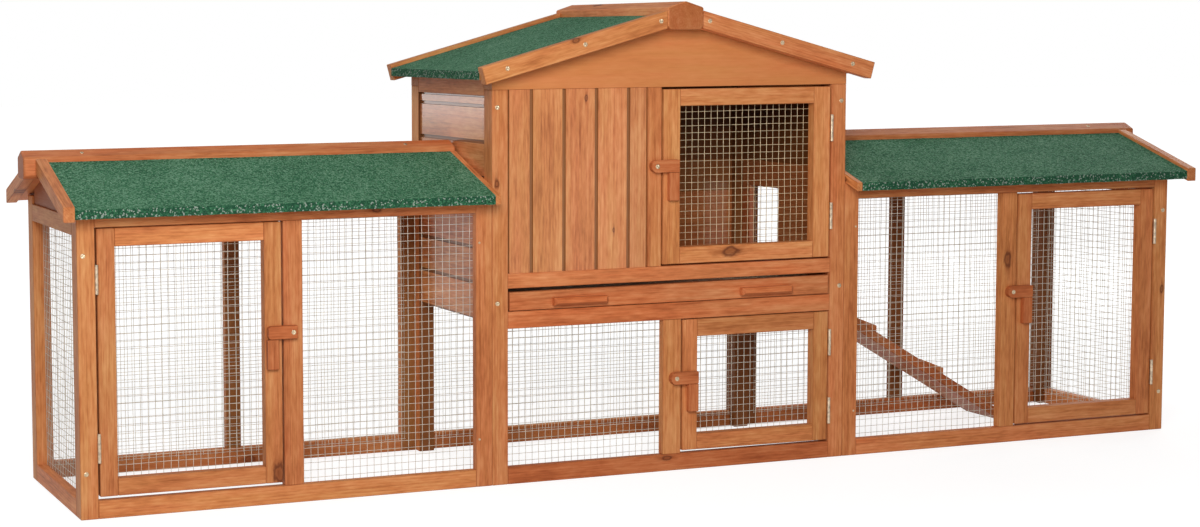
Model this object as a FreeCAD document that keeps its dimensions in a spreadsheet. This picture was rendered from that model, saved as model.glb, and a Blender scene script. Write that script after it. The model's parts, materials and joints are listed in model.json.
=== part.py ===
import FreeCAD, Part
import math
import os
import re
import Sketcher

# Two-storey animal hutch: a gabled house on a frame between two low wire runs.
# Origin on the ground under the middle of the hutch, +X to the right, +Y to the back, +Z up.
# All lengths are in millimetres and all angles in degrees.

SIZES = {
    # Frame of the whole hutch
    "run_length": 728,
    "house_width": 704,
    "frame_depth": 366,
    "post_width": 30,
    "post_depth": 34,
    "rail_height": 30,
    "mid_post_width": 34,
    "back_post_width": 28,
    "stick_depth": 16,
    "end_rail_thickness": 18,
    # Heights of the runs and of the house
    "run_height": 505,
    "run_end_rail_drop": 14,
    "deck_height": 302,
    "ledger_depth": 26,
    "house_post_height": 685,
    "head_rail_height": 26,
    "side_rail_height": 37,
    # Doors
    "door_gap": 3,
    "door_thickness": 20,
    "run_door_width": 313,
    "left_door_lift": 1.5,
    "door_stile_width": 30,
    "door_rail_height": 30,
    "upper_door_width": 341,
    "upper_stile_width": 34,
    "house_stile_width": 26.8,
    "lower_door_width": 300,
    "lower_mid_post_width": 36,
    "head_gap": 4,
    # Turn buttons and the blocks under them
    "button_reach": 44,
    "button_tail": 8,
    "button_height": 22,
    "button_thickness": 11,
    "button_clearance": 0.3,
    "pivot_inset": 14,
    "pivot_radius": 2,
    "pivot_clearance": 0.05,
    "run_button_rise": 255,
    "upper_button_rise": 175,
    "lower_button_rise": 134,
    "block_width": 20,
    "block_height": 50,
    "block_thickness": 10,
    "block_inset": 8,
    "block_clearance": 0.5,
    # Butt hinges
    "hinge_length": 48,
    "knuckle_radius": 3,
    "knuckle_gap": 0.4,
    "hinge_pin_radius": 1.5,
    "hinge_pin_clearance": 0.05,
    "leaf_thickness": 1.2,
    "leaf_depth": 18,
    "bore_overrun": 1,
    "run_hinge_inset": 82,
    "upper_hinge_inset": 75,
    "lower_hinge_inset": 55,
    # Roofs
    "roof_board_thickness": 13,
    "felt_thickness": 2,
    "run_pitch": 18.5,
    "run_eave": 38,
    "run_verge": 11,
    "run_ridge_width": 50,
    "run_ridge_drop": 13,
    "run_ridge_side": 36,
    "run_ridge_cap": 12,
    "run_ridge_overhang": 50,
    "run_rake_thickness": 19,
    "run_rake_above": 6,
    "run_rake_below": 3,
    "run_inner_rake_thickness": 11,
    "house_pitch": 15,
    "house_eave": 31,
    "house_verge": 18,
    "house_ridge_width": 70,
    "house_ridge_drop": 11,
    "house_ridge_side": 39,
    "house_ridge_cap": 11,
    "house_ridge_overhang": 40,
    "house_rake_thickness": 20,
    "house_rake_above": 7,
    "house_rake_below": 9,
    "rake_nose": 2,
    "ridge_chamfer": 6,
    # Boarding
    "gable_thickness": 12,
    "run_gable_inset": 4,
    "board_thickness": 12,
    "board_recess": 2,
    "first_board_width": 45,
    "front_board_width": 62.4,
    "siding_recess": 4,
    "siding_drop": 21,
    "first_siding_height": 65,
    "siding_height": 62,
    "doorway_start": 18,
    "doorway_width": 105,
    "doorway_sill": 38,
    "doorway_height": 142,
    # Wire mesh, drawn at three real cells to a gap
    "mesh_lap": 8,
    "mesh_thickness": 1.2,
    "mesh_pitch": 38.1,
    "mesh_wire": 2,
    # Droppings tray under the house floor
    "tray_front_height": 36,
    "tray_front_thickness": 14,
    "tray_clearance": 1,
    "tray_head_gap": 3,
    "tray_seat_gap": 0.3,
    "tray_back_gap": 4,
    "tray_side_gap": 3,
    "pan_side_gap": 6,
    "pan_height": 29,
    "pan_wall": 1.2,
    "runner_width": 26,
    "runner_height": 16,
    "pull_length": 104,
    "pull_height": 14,
    "pull_depth": 14,
    "pull_spacing": 372,
    "pull_drop": 5,
    # Ramp from the house doorway to the ground
    "ramp_rise": 18,
    "ramp_run": 503,
    "ramp_thickness": 21,
    "cleat_width": 52,
    "cleat_thickness": 12.5,
    "cleat_edge": 2,
    "cleat_start": 4,
    "cleat_pitch": 156.3,
    "bearer_height": 30,
    "bearer_end_gap": 9,
    # Wood screws
    "screw_head_radius": 4,
    "screw_head_height": 1.2,
    "screw_radius": 2,
    "screw_length": 15,
    "screw_edge": 10,
    "screw_end": 75,
    "rake_screw_spacing": 146,
    "rake_screw_start": 13,
}

CLEATS = 3
RAKE_SCREWS = 3

doc = FreeCAD.newDocument("hutch")
sheet = doc.addObject("Spreadsheet::Sheet", "Sizes")
for row, (alias, amount) in enumerate(SIZES.items(), start=1):
    sheet.set(f"A{row}", alias)
    sheet.set(f"B{row}", str(amount))
    sheet.setAlias(f"B{row}", alias)
doc.recompute()

# Places that several pieces share, worked out from the sizes
HALF_LENGTH = "(run_length + house_width / 2)"
HALF_HOUSE = "(house_width / 2)"
FRONT = "(-frame_depth / 2)"
BACK = "(frame_depth / 2)"
INNER_FRONT = f"({FRONT} + post_depth)"
INNER_BACK = f"({BACK} - post_depth)"
BAY_DEPTH = "(frame_depth - 2 * post_depth)"
BEHIND_STICKS = f"({FRONT} + stick_depth)"
BACK_STICKS = f"({BACK} - stick_depth)"
HOUSE_BAY = "(house_width - 2 * post_width)"
BAY_RIGHT = f"({HALF_HOUSE} - post_width)"
RUN_MID_POST = "(post_width + run_door_width + 2 * door_gap)"
RUN_BAY = f"({RUN_MID_POST} + mid_post_width)"
RUN_INNER_POST = "(run_length - post_width)"
RUN_RAIL_BOTTOM = "(run_height - rail_height)"
DECK_RAIL_BOTTOM = "(deck_height - rail_height)"
RUN_END_RAIL_TOP = "(run_height - run_end_rail_drop)"
LEDGER_BOTTOM = "(deck_height + tray_clearance + tray_front_height + tray_head_gap)"
LEDGER_TOP = f"({LEDGER_BOTTOM} + ledger_depth)"
HOUSE_EAVE = "(house_post_height + head_rail_height)"
SIDE_RAIL_BOTTOM = f"({HOUSE_EAVE} - side_rail_height)"
SIDING_BOTTOM = "(deck_height - siding_drop)"
FIRST_SIDING_TOP = f"({SIDING_BOTTOM} + first_siding_height)"
RAMP_TOP = "(deck_height + ramp_rise)"
UPPER_DOOR_LEFT = f"({BAY_RIGHT} - door_gap - upper_door_width)"
UPPER_STILE_RIGHT = f"({UPPER_DOOR_LEFT} - door_gap)"
UPPER_STILE_LEFT = f"({UPPER_STILE_RIGHT} - house_stile_width)"
LOWER_DOOR_LEFT = f"({BAY_RIGHT} - door_gap - lower_door_width)"
LOWER_MID_POST = f"({LOWER_DOOR_LEFT} - door_gap - lower_mid_post_width)"
HINGE_AXIS_Y = f"({FRONT} - knuckle_radius)"

# Undersides of the roof boards, where they leave the ridge and where they end at the eave
RUN_RISE = "((frame_depth / 2 - run_ridge_width / 2) * tan(run_pitch))"
RUN_UNDER_RIDGE = f"(run_height + {RUN_RISE})"
HOUSE_RISE = "((house_width / 2 - house_ridge_width / 2) * tan(house_pitch))"
HOUSE_UNDER_RIDGE = f"({HOUSE_EAVE} + {HOUSE_RISE})"
RUN_ROOF_DEPTH = "((roof_board_thickness + felt_thickness) / cos(run_pitch))"
HOUSE_ROOF_DEPTH = "((roof_board_thickness + felt_thickness) / cos(house_pitch))"
RUN_RIDGE_BOTTOM = f"({RUN_UNDER_RIDGE} - run_ridge_drop)"
HOUSE_RIDGE_BOTTOM = f"({HOUSE_UNDER_RIDGE} - house_ridge_drop)"

nodes = []


def bound(text):
    """An expression in which each size's name points at its cell of the sheet."""
    def cell(word):
        return f"Sizes.{word[0]}" if word[0] in SIZES else word[0]

    return re.sub(r"[a-z_]+[a-z]", cell, str(text))


def number(text):
    """The present value of an expression of sizes."""
    return float(sheet.evalExpression(bound(text)))


def bind(thing, expressions):
    for name, text in expressions.items():
        thing.setExpression(name, bound(text))


def put(thing, low):
    for axis, text in zip("xyz", low):
        thing.setExpression(f"Placement.Base.{axis}", bound(text))


def box(low, size):
    """A straight stick or board with its lowest corner at low."""
    stick = doc.addObject("Part::Box", "stick")
    bind(stick, dict(zip(("Length", "Width", "Height"), size)))
    put(stick, low)
    return stick


def rod(base, radius, length, along="z"):
    """A round bar from base, upwards or towards the back."""
    bar = doc.addObject("Part::Cylinder", "rod")
    if along == "y":
        bar.Placement = FreeCAD.Placement(FreeCAD.Vector(), FreeCAD.Rotation(FreeCAD.Vector(1, 0, 0), -90))
    bind(bar, {"Radius": radius, "Height": length})
    put(bar, base)
    return bar


def slab(low, width, run, depth, rise, along="y", start_depth=None):
    """A sloping board with upright ends: its underside starts at low and climbs by rise over run."""
    board = doc.addObject("Part::Wedge", "slab")
    bind(board, {"Xmin": "0", "X2min": "0", "Xmax": width, "X2max": width, "Ymin": "0", "Ymax": run})
    bind(board, {"Zmin": "0", "Zmax": start_depth or depth, "Z2min": rise, "Z2max": f"{rise} + {depth}"})
    x, y, z = low
    if along == "x":
        board.Placement = FreeCAD.Placement(FreeCAD.Vector(), FreeCAD.Rotation(FreeCAD.Vector(0, 0, 1), -90))
        y = f"{y} + {width}"
    put(board, (x, y, z))
    return board


def profile(name, plane, corners, length, low):
    """A board or beam of one outline: the sketch's corners are bound to the sizes, and the pad to length."""
    body = doc.addObject("PartDesign::Body", name)
    sketch = body.newObject("Sketcher::SketchObject", f"{name}_outline")
    face = [feature for feature in body.Origin.OriginFeatures if feature.Role == plane][0]
    sketch.AttachmentSupport = (face, [""])
    sketch.MapMode = "FlatFace"
    places = [FreeCAD.Vector(number(across), number(up), 0) for across, up in corners]
    for start, end in zip(places, places[1:] + places[:1]):
        sketch.addGeometry(Part.LineSegment(start, end), False)
    for edge in range(len(corners)):
        sketch.addConstraint(Sketcher.Constraint("Coincident", edge, 2, (edge + 1) % len(corners), 1))
    for edge, (across, up) in enumerate(corners):
        for kind, text, place in (("DistanceX", across, places[edge].x), ("DistanceY", up, places[edge].y)):
            index = sketch.addConstraint(Sketcher.Constraint(kind, -1, 1, edge, 1, place))
            sketch.setExpression(f"Constraints[{index}]", bound(text))
    pad = body.newObject("PartDesign::Pad", f"{name}_length")
    pad.Profile = sketch
    bind(pad, {"Length": length})
    put(body, low)
    return body


def joined(pieces):
    whole = doc.addObject("Part::MultiFuse", "joined")
    whole.Shapes = pieces
    whole.Refine = True
    return whole


def less(piece, tool):
    rest = doc.addObject("Part::Cut", "less")
    rest.Base = piece
    rest.Tool = tool
    return rest


def node(label, pieces):
    """One named sub-part: a single solid, or a group of separate solids that belong together."""
    if len(pieces) == 1:
        group = pieces[0]
    else:
        group = doc.addObject("Part::Compound", label)
        group.Links = pieces
    group.Label = label
    nodes.append(group)
    return group


def run_x(side, start, width):
    """Lowest X of what spans start to start + width, measured from a run's outer end."""
    if side == "left":
        return f"-{HALF_LENGTH} + ({start})"
    return f"{HALF_LENGTH} - ({start}) - ({width})"


def run_box(side, start, width, low_y, low_z, depth, height):
    return box((run_x(side, start, width), low_y, low_z), (width, depth, height))


def net(low, width, height, across="x"):
    """A flat wire net: one sheet with square gaps, upright, along X or along Y."""
    wide, high = number(width), number(height)
    pitch, wire = number("mesh_pitch"), number("mesh_wire")
    columns, rows = round((wide - wire) / pitch), round((high - wire) / pitch)
    step_x, step_z = (wide - wire) / columns, (high - wire) / rows
    upright = FreeCAD.Vector(0, 0, 1)

    def frame(x, z, dx, dz):
        return Part.makePolygon([(x, 0, z), (x + dx, 0, z), (x + dx, 0, z + dz), (x, 0, z + dz), (x, 0, z)])

    gaps = [
        frame(wire + column * step_x, wire + line * step_z, step_x - wire, step_z - wire)
        for column in range(columns)
        for line in range(rows)
    ]
    sheet_face = Part.makeFace([frame(0, 0, wide, high)] + gaps, "Part::FaceMakerBullseye")
    wires = doc.addObject("Part::Feature", "net")
    wires.Shape = sheet_face.extrude(FreeCAD.Vector(0, number("mesh_thickness"), 0))
    turn = FreeCAD.Rotation(upright, 90 if across == "y" else 0)
    wires.Placement = FreeCAD.Placement(FreeCAD.Vector(*[number(text) for text in low]), turn)
    return wires


def run_frame(side, name, back):
    """Posts and rails of one long side of a run: a deep corner post, and thinner sticks."""
    low_y = BACK_STICKS if back else FRONT
    corner_y = INNER_BACK if back else FRONT
    sticks = [
        run_box(side, "0", "post_width", corner_y, "0", "post_depth", "run_height"),
        run_box(side, RUN_INNER_POST, "post_width", low_y, "0", "stick_depth", "run_height"),
    ]
    span = "run_length - 2 * post_width"
    for low_z in ("0", RUN_RAIL_BOTTOM):
        sticks.append(run_box(side, "post_width", span, low_y, low_z, "stick_depth", "rail_height"))
    width = "back_post_width" if back else "mid_post_width"
    mid_height = f"{RUN_RAIL_BOTTOM} - rail_height"
    mid_start = f"{RUN_BAY} - {width}"
    sticks.append(run_box(side, mid_start, width, low_y, "rail_height", "stick_depth", mid_height))
    node(name, sticks)


def run_end(side):
    """Rails of a run's outer end, and the board that fills the gable above them."""
    rails = [
        run_box(side, "0", "end_rail_thickness", INNER_FRONT, low_z, BAY_DEPTH, "rail_height")
        for low_z in ("0", f"{RUN_END_RAIL_TOP} - rail_height")
    ]
    node(f"{side}_run_end_rails", rails)
    half = f"({BAY_DEPTH} / 2)"
    corner_rise = f"(run_height + post_depth * tan(run_pitch) - {RUN_END_RAIL_TOP})"
    ridge_rise = f"({RUN_UNDER_RIDGE} - {RUN_END_RAIL_TOP})"
    notch = f"({ridge_rise} - run_ridge_drop)"
    near, far = f"({half} - run_ridge_width / 2)", f"({half} + run_ridge_width / 2)"
    outline = [
        ("0", "0"), (BAY_DEPTH, "0"), (BAY_DEPTH, corner_rise), (far, ridge_rise),
        (far, notch), (near, notch), (near, ridge_rise), ("0", corner_rise),
    ]
    low = (run_x(side, "run_gable_inset", "gable_thickness"), INNER_FRONT, RUN_END_RAIL_TOP)
    node(f"{side}_run_gable_board", [profile(f"{side}_gable", "YZ_Plane", outline, "gable_thickness", low)])


def run_mesh(side):
    lap = "2 * mesh_lap"
    low_z = "rail_height - mesh_lap"
    height = f"{RUN_RAIL_BOTTOM} - rail_height + {lap}"
    front_width = f"{RUN_INNER_POST} - {RUN_BAY} + {lap}"
    front_low = (run_x(side, f"{RUN_BAY} - mesh_lap", front_width), BEHIND_STICKS, low_z)
    back_width = f"{RUN_INNER_POST} + mesh_lap - post_width"
    back_low = (run_x(side, "post_width", back_width), f"{BACK_STICKS} - mesh_thickness", low_z)
    end_x = run_x(side, "end_rail_thickness", "mesh_thickness")
    end_low = (f"{end_x} + mesh_thickness", INNER_FRONT, low_z)
    end_height = f"{RUN_END_RAIL_TOP} - 2 * rail_height + {lap}"
    nets = [
        net(front_low, front_width, height),
        net(back_low, back_width, height),
        net(end_low, BAY_DEPTH, end_height, across="y"),
    ]
    node(f"{side}_run_mesh", nets)


def ridge_outline(kind):
    wide, side, cap = f"{kind}_ridge_width", f"{kind}_ridge_side", f"{kind}_ridge_cap"
    return [
        ("ridge_chamfer", "0"), (f"{wide} - ridge_chamfer", "0"), (wide, "ridge_chamfer"), (wide, side),
        (f"{wide} / 2", f"{side} + {cap}"), ("0", side), ("0", "ridge_chamfer"),
    ]


def run_slope(side, start, width, back, drop, depth, reach):
    """A board along one slope of a run's roof; drop sets its underside below the roof boards'."""
    fall = "tan(run_pitch)"
    run = f"(frame_depth / 2 + {reach} - run_ridge_width / 2)"
    eave_z = f"(run_height - {reach} * {fall} - ({drop}))"
    ridge_z = f"({RUN_UNDER_RIDGE} - ({drop}))"
    x = run_x(side, start, width)
    if back:
        return slab((x, "run_ridge_width / 2", ridge_z), width, run, depth, f"(-{run} * {fall})")
    return slab((x, f"{FRONT} - {reach}", eave_z), width, run, depth, f"({run} * {fall})")


def run_roof(side):
    inner = "(run_length - run_inner_rake_thickness)"
    covered = f"({inner} + run_verge)"
    length = "run_length + run_ridge_overhang"
    low = (run_x(side, "-run_ridge_overhang", length), "-run_ridge_width / 2", RUN_RIDGE_BOTTOM)
    node(f"{side}_run_ridge", [profile(f"{side}_ridge", "YZ_Plane", ridge_outline("run"), length, low)])

    board_depth = "(roof_board_thickness / cos(run_pitch))"
    felt_depth = "(felt_thickness / cos(run_pitch))"
    boards, felts, rakes = [], [], []
    for back in (False, True):
        boards.append(run_slope(side, "-run_verge", covered, back, "0", board_depth, "run_eave"))
        felt_reach = "(run_eave + felt_thickness)"
        cover = run_slope(side, "-run_verge", covered, back, f"-{board_depth}", felt_depth, felt_reach)
        lip_y = f"{BACK} + run_eave" if back else f"{FRONT} - run_eave - felt_thickness"
        lip_z = f"run_height - {felt_reach} * tan(run_pitch)"
        lip_height = f"{board_depth} + {felt_depth} / 2"
        lip = run_box(side, "-run_verge", covered, lip_y, lip_z, "felt_thickness", lip_height)
        felts.append(joined([cover, lip]))
        nose = "(run_eave + felt_thickness + rake_nose)"
        rake_depth = f"({RUN_ROOF_DEPTH} + run_rake_above + run_rake_below)"
        outer_start = "-(run_verge + run_rake_thickness)"
        outer, below = "run_rake_thickness", "run_rake_below"
        rakes.append(run_slope(side, outer_start, outer, back, below, rake_depth, nose))
        thin = "run_inner_rake_thickness"
        rakes.append(run_slope(side, inner, thin, back, "0", RUN_ROOF_DEPTH, felt_reach))
    node(f"{side}_run_roof_boards", boards)
    node(f"{side}_run_roof_felt", felts)
    node(f"{side}_run_rakes", rakes)


def house_frame():
    left, right = f"-{HALF_HOUSE}", BAY_RIGHT
    posts = [
        box((x, y, "0"), ("post_width", "post_depth", "house_post_height"))
        for x in (left, right)
        for y in (FRONT, INNER_BACK)
    ]
    node("house_corner_posts", posts)

    def rail(low_y, low_z, height, depth="stick_depth"):
        return box((f"-{BAY_RIGHT}", low_y, low_z), (HOUSE_BAY, depth, height))

    def head(low_y):
        size = ("house_width", "post_depth - gable_thickness", "head_rail_height")
        return box((left, low_y, "house_post_height"), size)

    front = [rail(FRONT, "0", "rail_height"), rail(FRONT, DECK_RAIL_BOTTOM, "rail_height")]
    front.append(rail(FRONT, LEDGER_BOTTOM, "ledger_depth", "post_depth"))
    front.append(head(f"{FRONT} + gable_thickness"))
    stile_size = ("house_stile_width", "post_depth", f"house_post_height - {LEDGER_TOP}")
    front.append(box((UPPER_STILE_LEFT, FRONT, LEDGER_TOP), stile_size))
    lower_height = f"{DECK_RAIL_BOTTOM} - rail_height"
    lower_size = ("lower_mid_post_width", "stick_depth", lower_height)
    front.append(box((LOWER_MID_POST, FRONT, "rail_height"), lower_size))
    node("house_front_frame", front)

    back = [rail(BACK_STICKS, "0", "rail_height"), rail(BACK_STICKS, DECK_RAIL_BOTTOM, "rail_height")]
    back.append(head(INNER_BACK))
    node("house_back_frame", back)

    side_rails = [
        box((x, INNER_FRONT, SIDE_RAIL_BOTTOM), ("post_width", BAY_DEPTH, "side_rail_height"))
        for x in (left, right)
    ]
    node("house_side_rails", side_rails)


def courses(start, first_joint, width, end):
    """Both edges of each board from start to end: joints a width apart, the last board cut to fit."""
    joints = math.ceil(number(f"({end} - ({first_joint})) / {width}"))
    edges = [start] + [f"({first_joint} + {joint} * {width})" for joint in range(joints)] + [end]
    return list(zip(edges, edges[1:]))


def house_boards():
    """Upright boards beside the upper door, and level boards on the other three walls."""
    front_y = f"{FRONT} + board_recess"
    first, first_joint = f"(-{BAY_RIGHT})", f"(-{BAY_RIGHT} + first_board_width)"
    height = f"house_post_height - {LEDGER_TOP}"
    front = [
        box((left, front_y, LEDGER_TOP), (f"{right} - {left}", "board_thickness", height))
        for left, right in courses(first, first_joint, "front_board_width", UPPER_STILE_LEFT)
    ]
    node("house_front_boards", front)

    def side_wall(low_x):
        return [
            box((low_x, INNER_FRONT, low), ("board_thickness", BAY_DEPTH, f"{high} - {low}"))
            for low, high in courses(SIDING_BOTTOM, FIRST_SIDING_TOP, "siding_height", SIDE_RAIL_BOTTOM)
        ]

    node("house_left_siding", side_wall(f"-{HALF_HOUSE} + siding_recess"))

    right_x = f"{HALF_HOUSE} - siding_recess - board_thickness"
    wall = doc.addObject("Part::Compound", "right_wall")
    wall.Links = side_wall(right_x)
    doorway_low = (f"{right_x} - board_thickness", "doorway_start", "deck_height + doorway_sill")
    doorway = box(doorway_low, ("3 * board_thickness", "doorway_width", "doorway_height"))
    node("house_right_siding", [less(wall, doorway)])

    back_y = f"{BACK} - siding_recess - board_thickness"
    back = [
        box((f"-{BAY_RIGHT}", back_y, low), (HOUSE_BAY, "board_thickness", f"{high} - {low}"))
        for low, high in courses("deck_height", FIRST_SIDING_TOP, "siding_height", "house_post_height")
    ]
    node("house_back_siding", back)

    ridge_rise = f"({HOUSE_UNDER_RIDGE} - house_post_height)"
    notch = f"({ridge_rise} - house_ridge_drop)"
    near = f"({HALF_HOUSE} - house_ridge_width / 2)"
    far = f"({HALF_HOUSE} + house_ridge_width / 2)"
    outline = [
        ("0", "0"), ("house_width", "0"), ("house_width", "head_rail_height"), (far, ridge_rise),
        (far, notch), (near, notch), (near, ridge_rise), ("0", "head_rail_height"),
    ]
    gables = [
        profile(name, "XZ_Plane", outline, "gable_thickness", (f"-{HALF_HOUSE}", y, "house_post_height"))
        for name, y in (("front_gable", f"{FRONT} + gable_thickness"), ("back_gable", BACK))
    ]
    node("house_gable_boards", gables)


def house_mesh():
    low_x, low_z = f"-{BAY_RIGHT}", "rail_height - mesh_lap"
    height = f"{DECK_RAIL_BOTTOM} - rail_height + 2 * mesh_lap"
    front_width = f"{LOWER_MID_POST} + {BAY_RIGHT} + mesh_lap"
    front = net((low_x, BEHIND_STICKS, low_z), front_width, height)
    back = net((low_x, f"{BACK_STICKS} - mesh_thickness", low_z), HOUSE_BAY, height)
    node("house_mesh", [front, back])


def house_slope(right, low_y, width, drop, depth, reach):
    """A board along one slope of the house roof; drop sets its underside below the roof boards'."""
    fall = "tan(house_pitch)"
    run = f"(house_width / 2 + {reach} - house_ridge_width / 2)"
    eave_z = f"({HOUSE_EAVE} - {reach} * {fall} - ({drop}))"
    ridge_z = f"({HOUSE_UNDER_RIDGE} - ({drop}))"
    if right:
        low = ("house_ridge_width / 2", low_y, ridge_z)
        return slab(low, width, run, depth, f"(-{run} * {fall})", along="x")
    low = (f"-{HALF_HOUSE} - {reach}", low_y, eave_z)
    return slab(low, width, run, depth, f"({run} * {fall})", along="x")


def house_rake(right, end, back_y):
    """A rake board along one slope of the house roof, cut plumb at the ridge and square at its nose."""
    fall = "tan(house_pitch)"
    nose = "(house_eave + felt_thickness + rake_nose)"
    run = f"(house_width / 2 + {nose} - house_ridge_width / 2)"
    climb = f"({run} * {fall})"
    depth = f"({HOUSE_ROOF_DEPTH} + house_rake_above + house_rake_below)"
    inset = f"({depth} * sin(house_pitch) * cos(house_pitch))"
    outline = [(inset, f"{inset} * {fall}"), (run, climb), (run, f"{climb} + {depth}"), ("0", depth)]
    low_x = f"-{HALF_HOUSE} - {nose}"
    side = "left"
    if right:
        outline = [(f"{run} - {across}", up) for across, up in outline]
        low_x = "house_ridge_width / 2"
        side = "right"
    low = (low_x, back_y, f"{HOUSE_EAVE} - {nose} * {fall} - house_rake_below")
    return profile(f"{side}_{end}_rake", "XZ_Plane", outline, "house_rake_thickness", low)


def house_roof():
    ridge_length = "frame_depth + 2 * house_ridge_overhang"
    low = ("-house_ridge_width / 2", f"{BACK} + house_ridge_overhang", HOUSE_RIDGE_BOTTOM)
    node("house_ridge", [profile("top_ridge", "XZ_Plane", ridge_outline("house"), ridge_length, low)])

    board_depth = "(roof_board_thickness / cos(house_pitch))"
    felt_depth = "(felt_thickness / cos(house_pitch))"
    covered = "(frame_depth + 2 * house_verge)"
    start = f"({FRONT} - house_verge)"
    felt_reach = "(house_eave + felt_thickness)"
    boards, felts, rakes = [], [], []
    for right in (False, True):
        boards.append(house_slope(right, start, covered, "0", board_depth, "house_eave"))
        cover = house_slope(right, start, covered, f"-{board_depth}", felt_depth, felt_reach)
        lip_x = f"{HALF_HOUSE} + house_eave" if right else f"-{HALF_HOUSE} - {felt_reach}"
        lip_z = f"{HOUSE_EAVE} - {felt_reach} * tan(house_pitch)"
        lip_size = ("felt_thickness", covered, f"{board_depth} + {felt_depth} / 2")
        felts.append(joined([cover, box((lip_x, start, lip_z), lip_size)]))
        for end, back_y in (("front", start), ("back", f"{BACK} + house_verge + house_rake_thickness")):
            rakes.append(house_rake(right, end, back_y))
    node("house_roof_boards", boards)
    node("house_roof_felt", felts)
    node("house_rakes", rakes)


def tray():
    """Pull-out droppings tray: a metal pan behind a wooden front, on two runners."""
    runner_size = ("runner_width", f"{BACK_STICKS} - {BEHIND_STICKS}", "runner_height")
    runners = [
        box((x, BEHIND_STICKS, "deck_height - runner_height"), runner_size)
        for x in (f"-{BAY_RIGHT}", f"{BAY_RIGHT} - runner_width")
    ]
    node("tray_runners", runners)
    front_low = (f"-{BAY_RIGHT} + tray_side_gap", FRONT, "deck_height + tray_clearance")
    front_size = (f"{HOUSE_BAY} - 2 * tray_side_gap", "tray_front_thickness", "tray_front_height")
    node("tray_front", [box(front_low, front_size)])
    pan_y = f"{FRONT} + tray_front_thickness"
    pan_z = "deck_height + tray_seat_gap"
    width = f"({HOUSE_BAY} - 2 * pan_side_gap)"
    length = f"({INNER_BACK} - tray_back_gap - ({pan_y}))"
    outer = box((f"-{width} / 2", pan_y, pan_z), (width, length, "pan_height"))
    inner_low = (f"-{width} / 2 + pan_wall", f"{pan_y} + pan_wall", f"{pan_z} + pan_wall")
    hollow = box(inner_low, (f"{width} - 2 * pan_wall", f"{length} - 2 * pan_wall", "pan_height"))
    node("tray_pan", [less(outer, hollow)])
    pull_z = "deck_height + tray_clearance + (tray_front_height - pull_height) / 2 - pull_drop"
    pulls = [
        box((f"{sign} * pull_spacing / 2 - pull_length / 2", f"{FRONT} - pull_depth", pull_z),
            ("pull_length", "pull_depth", "pull_height"))
        for sign in (-1, 1)
    ]
    node("tray_pulls", pulls)


def hinge(post_side, axis_x, middle_z):
    """One butt hinge in the gap beside a door: the post's leaf, the door's leaf and the pin."""
    low_z = f"({middle_z} - hinge_length / 2)"
    third = "(hinge_length / 3)"

    def leaf(side, knuckles):
        near = f"{axis_x} + door_gap / 2 - leaf_thickness" if side > 0 else f"{axis_x} - door_gap / 2"
        plate_y = f"{FRONT} + knuckle_gap"
        pieces = [box((near, plate_y, low_z), ("leaf_thickness", "leaf_depth", "hinge_length"))]
        for start, height in knuckles:
            knuckle_z = f"{low_z} + {start}"
            neck_size = ("leaf_thickness", "knuckle_radius + knuckle_gap", height)
            pieces.append(box((near, HINGE_AXIS_Y, knuckle_z), neck_size))
            pieces.append(rod((axis_x, HINGE_AXIS_Y, knuckle_z), "knuckle_radius", height))
        bore_radius = "hinge_pin_radius + hinge_pin_clearance"
        bore_low = (axis_x, HINGE_AXIS_Y, f"{low_z} - bore_overrun")
        bore = rod(bore_low, bore_radius, "hinge_length + 2 * bore_overrun")
        return less(joined(pieces), bore)

    outer = f"({third} - knuckle_gap)"
    post_leaf = leaf(post_side, [("0", outer), (f"2 * {third} + knuckle_gap", outer)])
    door_leaf = leaf(-post_side, [(third, third)])
    pin = rod((axis_x, HINGE_AXIS_Y, low_z), "hinge_pin_radius", "hinge_length")
    return post_leaf, door_leaf, pin


def turn_button(side, pivot_x, pivot_z, rounded):
    """A wooden turn button on a post, lapping the door, and its screw; one end is round or sawn square."""
    low_y = f"{FRONT} - button_clearance - button_thickness"
    tail = "0" if rounded else "button_tail"
    low_x = f"{pivot_x} - {tail}" if side > 0 else f"{pivot_x} - button_reach"
    bar_size = (f"button_reach + {tail}", "button_thickness", "button_height")
    bar = box((low_x, low_y, f"{pivot_z} - button_height / 2"), bar_size)
    if rounded:
        end = rod((pivot_x, low_y, pivot_z), "button_height / 2", "button_thickness", along="y")
        bar = joined([bar, end])
    bore_radius = "pivot_radius + pivot_clearance"
    bore_low = (pivot_x, f"{low_y} - bore_overrun", pivot_z)
    bore = rod(bore_low, bore_radius, "button_thickness + 2 * bore_overrun", along="y")
    button = less(bar, bore)
    head_y = f"{low_y} - button_clearance - screw_head_height"
    head = rod((pivot_x, head_y, pivot_z), "screw_head_radius", "screw_head_height", along="y")
    shank_length = "screw_head_height + 2 * button_clearance + button_thickness + screw_length"
    shank = rod((pivot_x, head_y, pivot_z), "pivot_radius", shank_length, along="y")
    return button, joined([head, shank])


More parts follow.
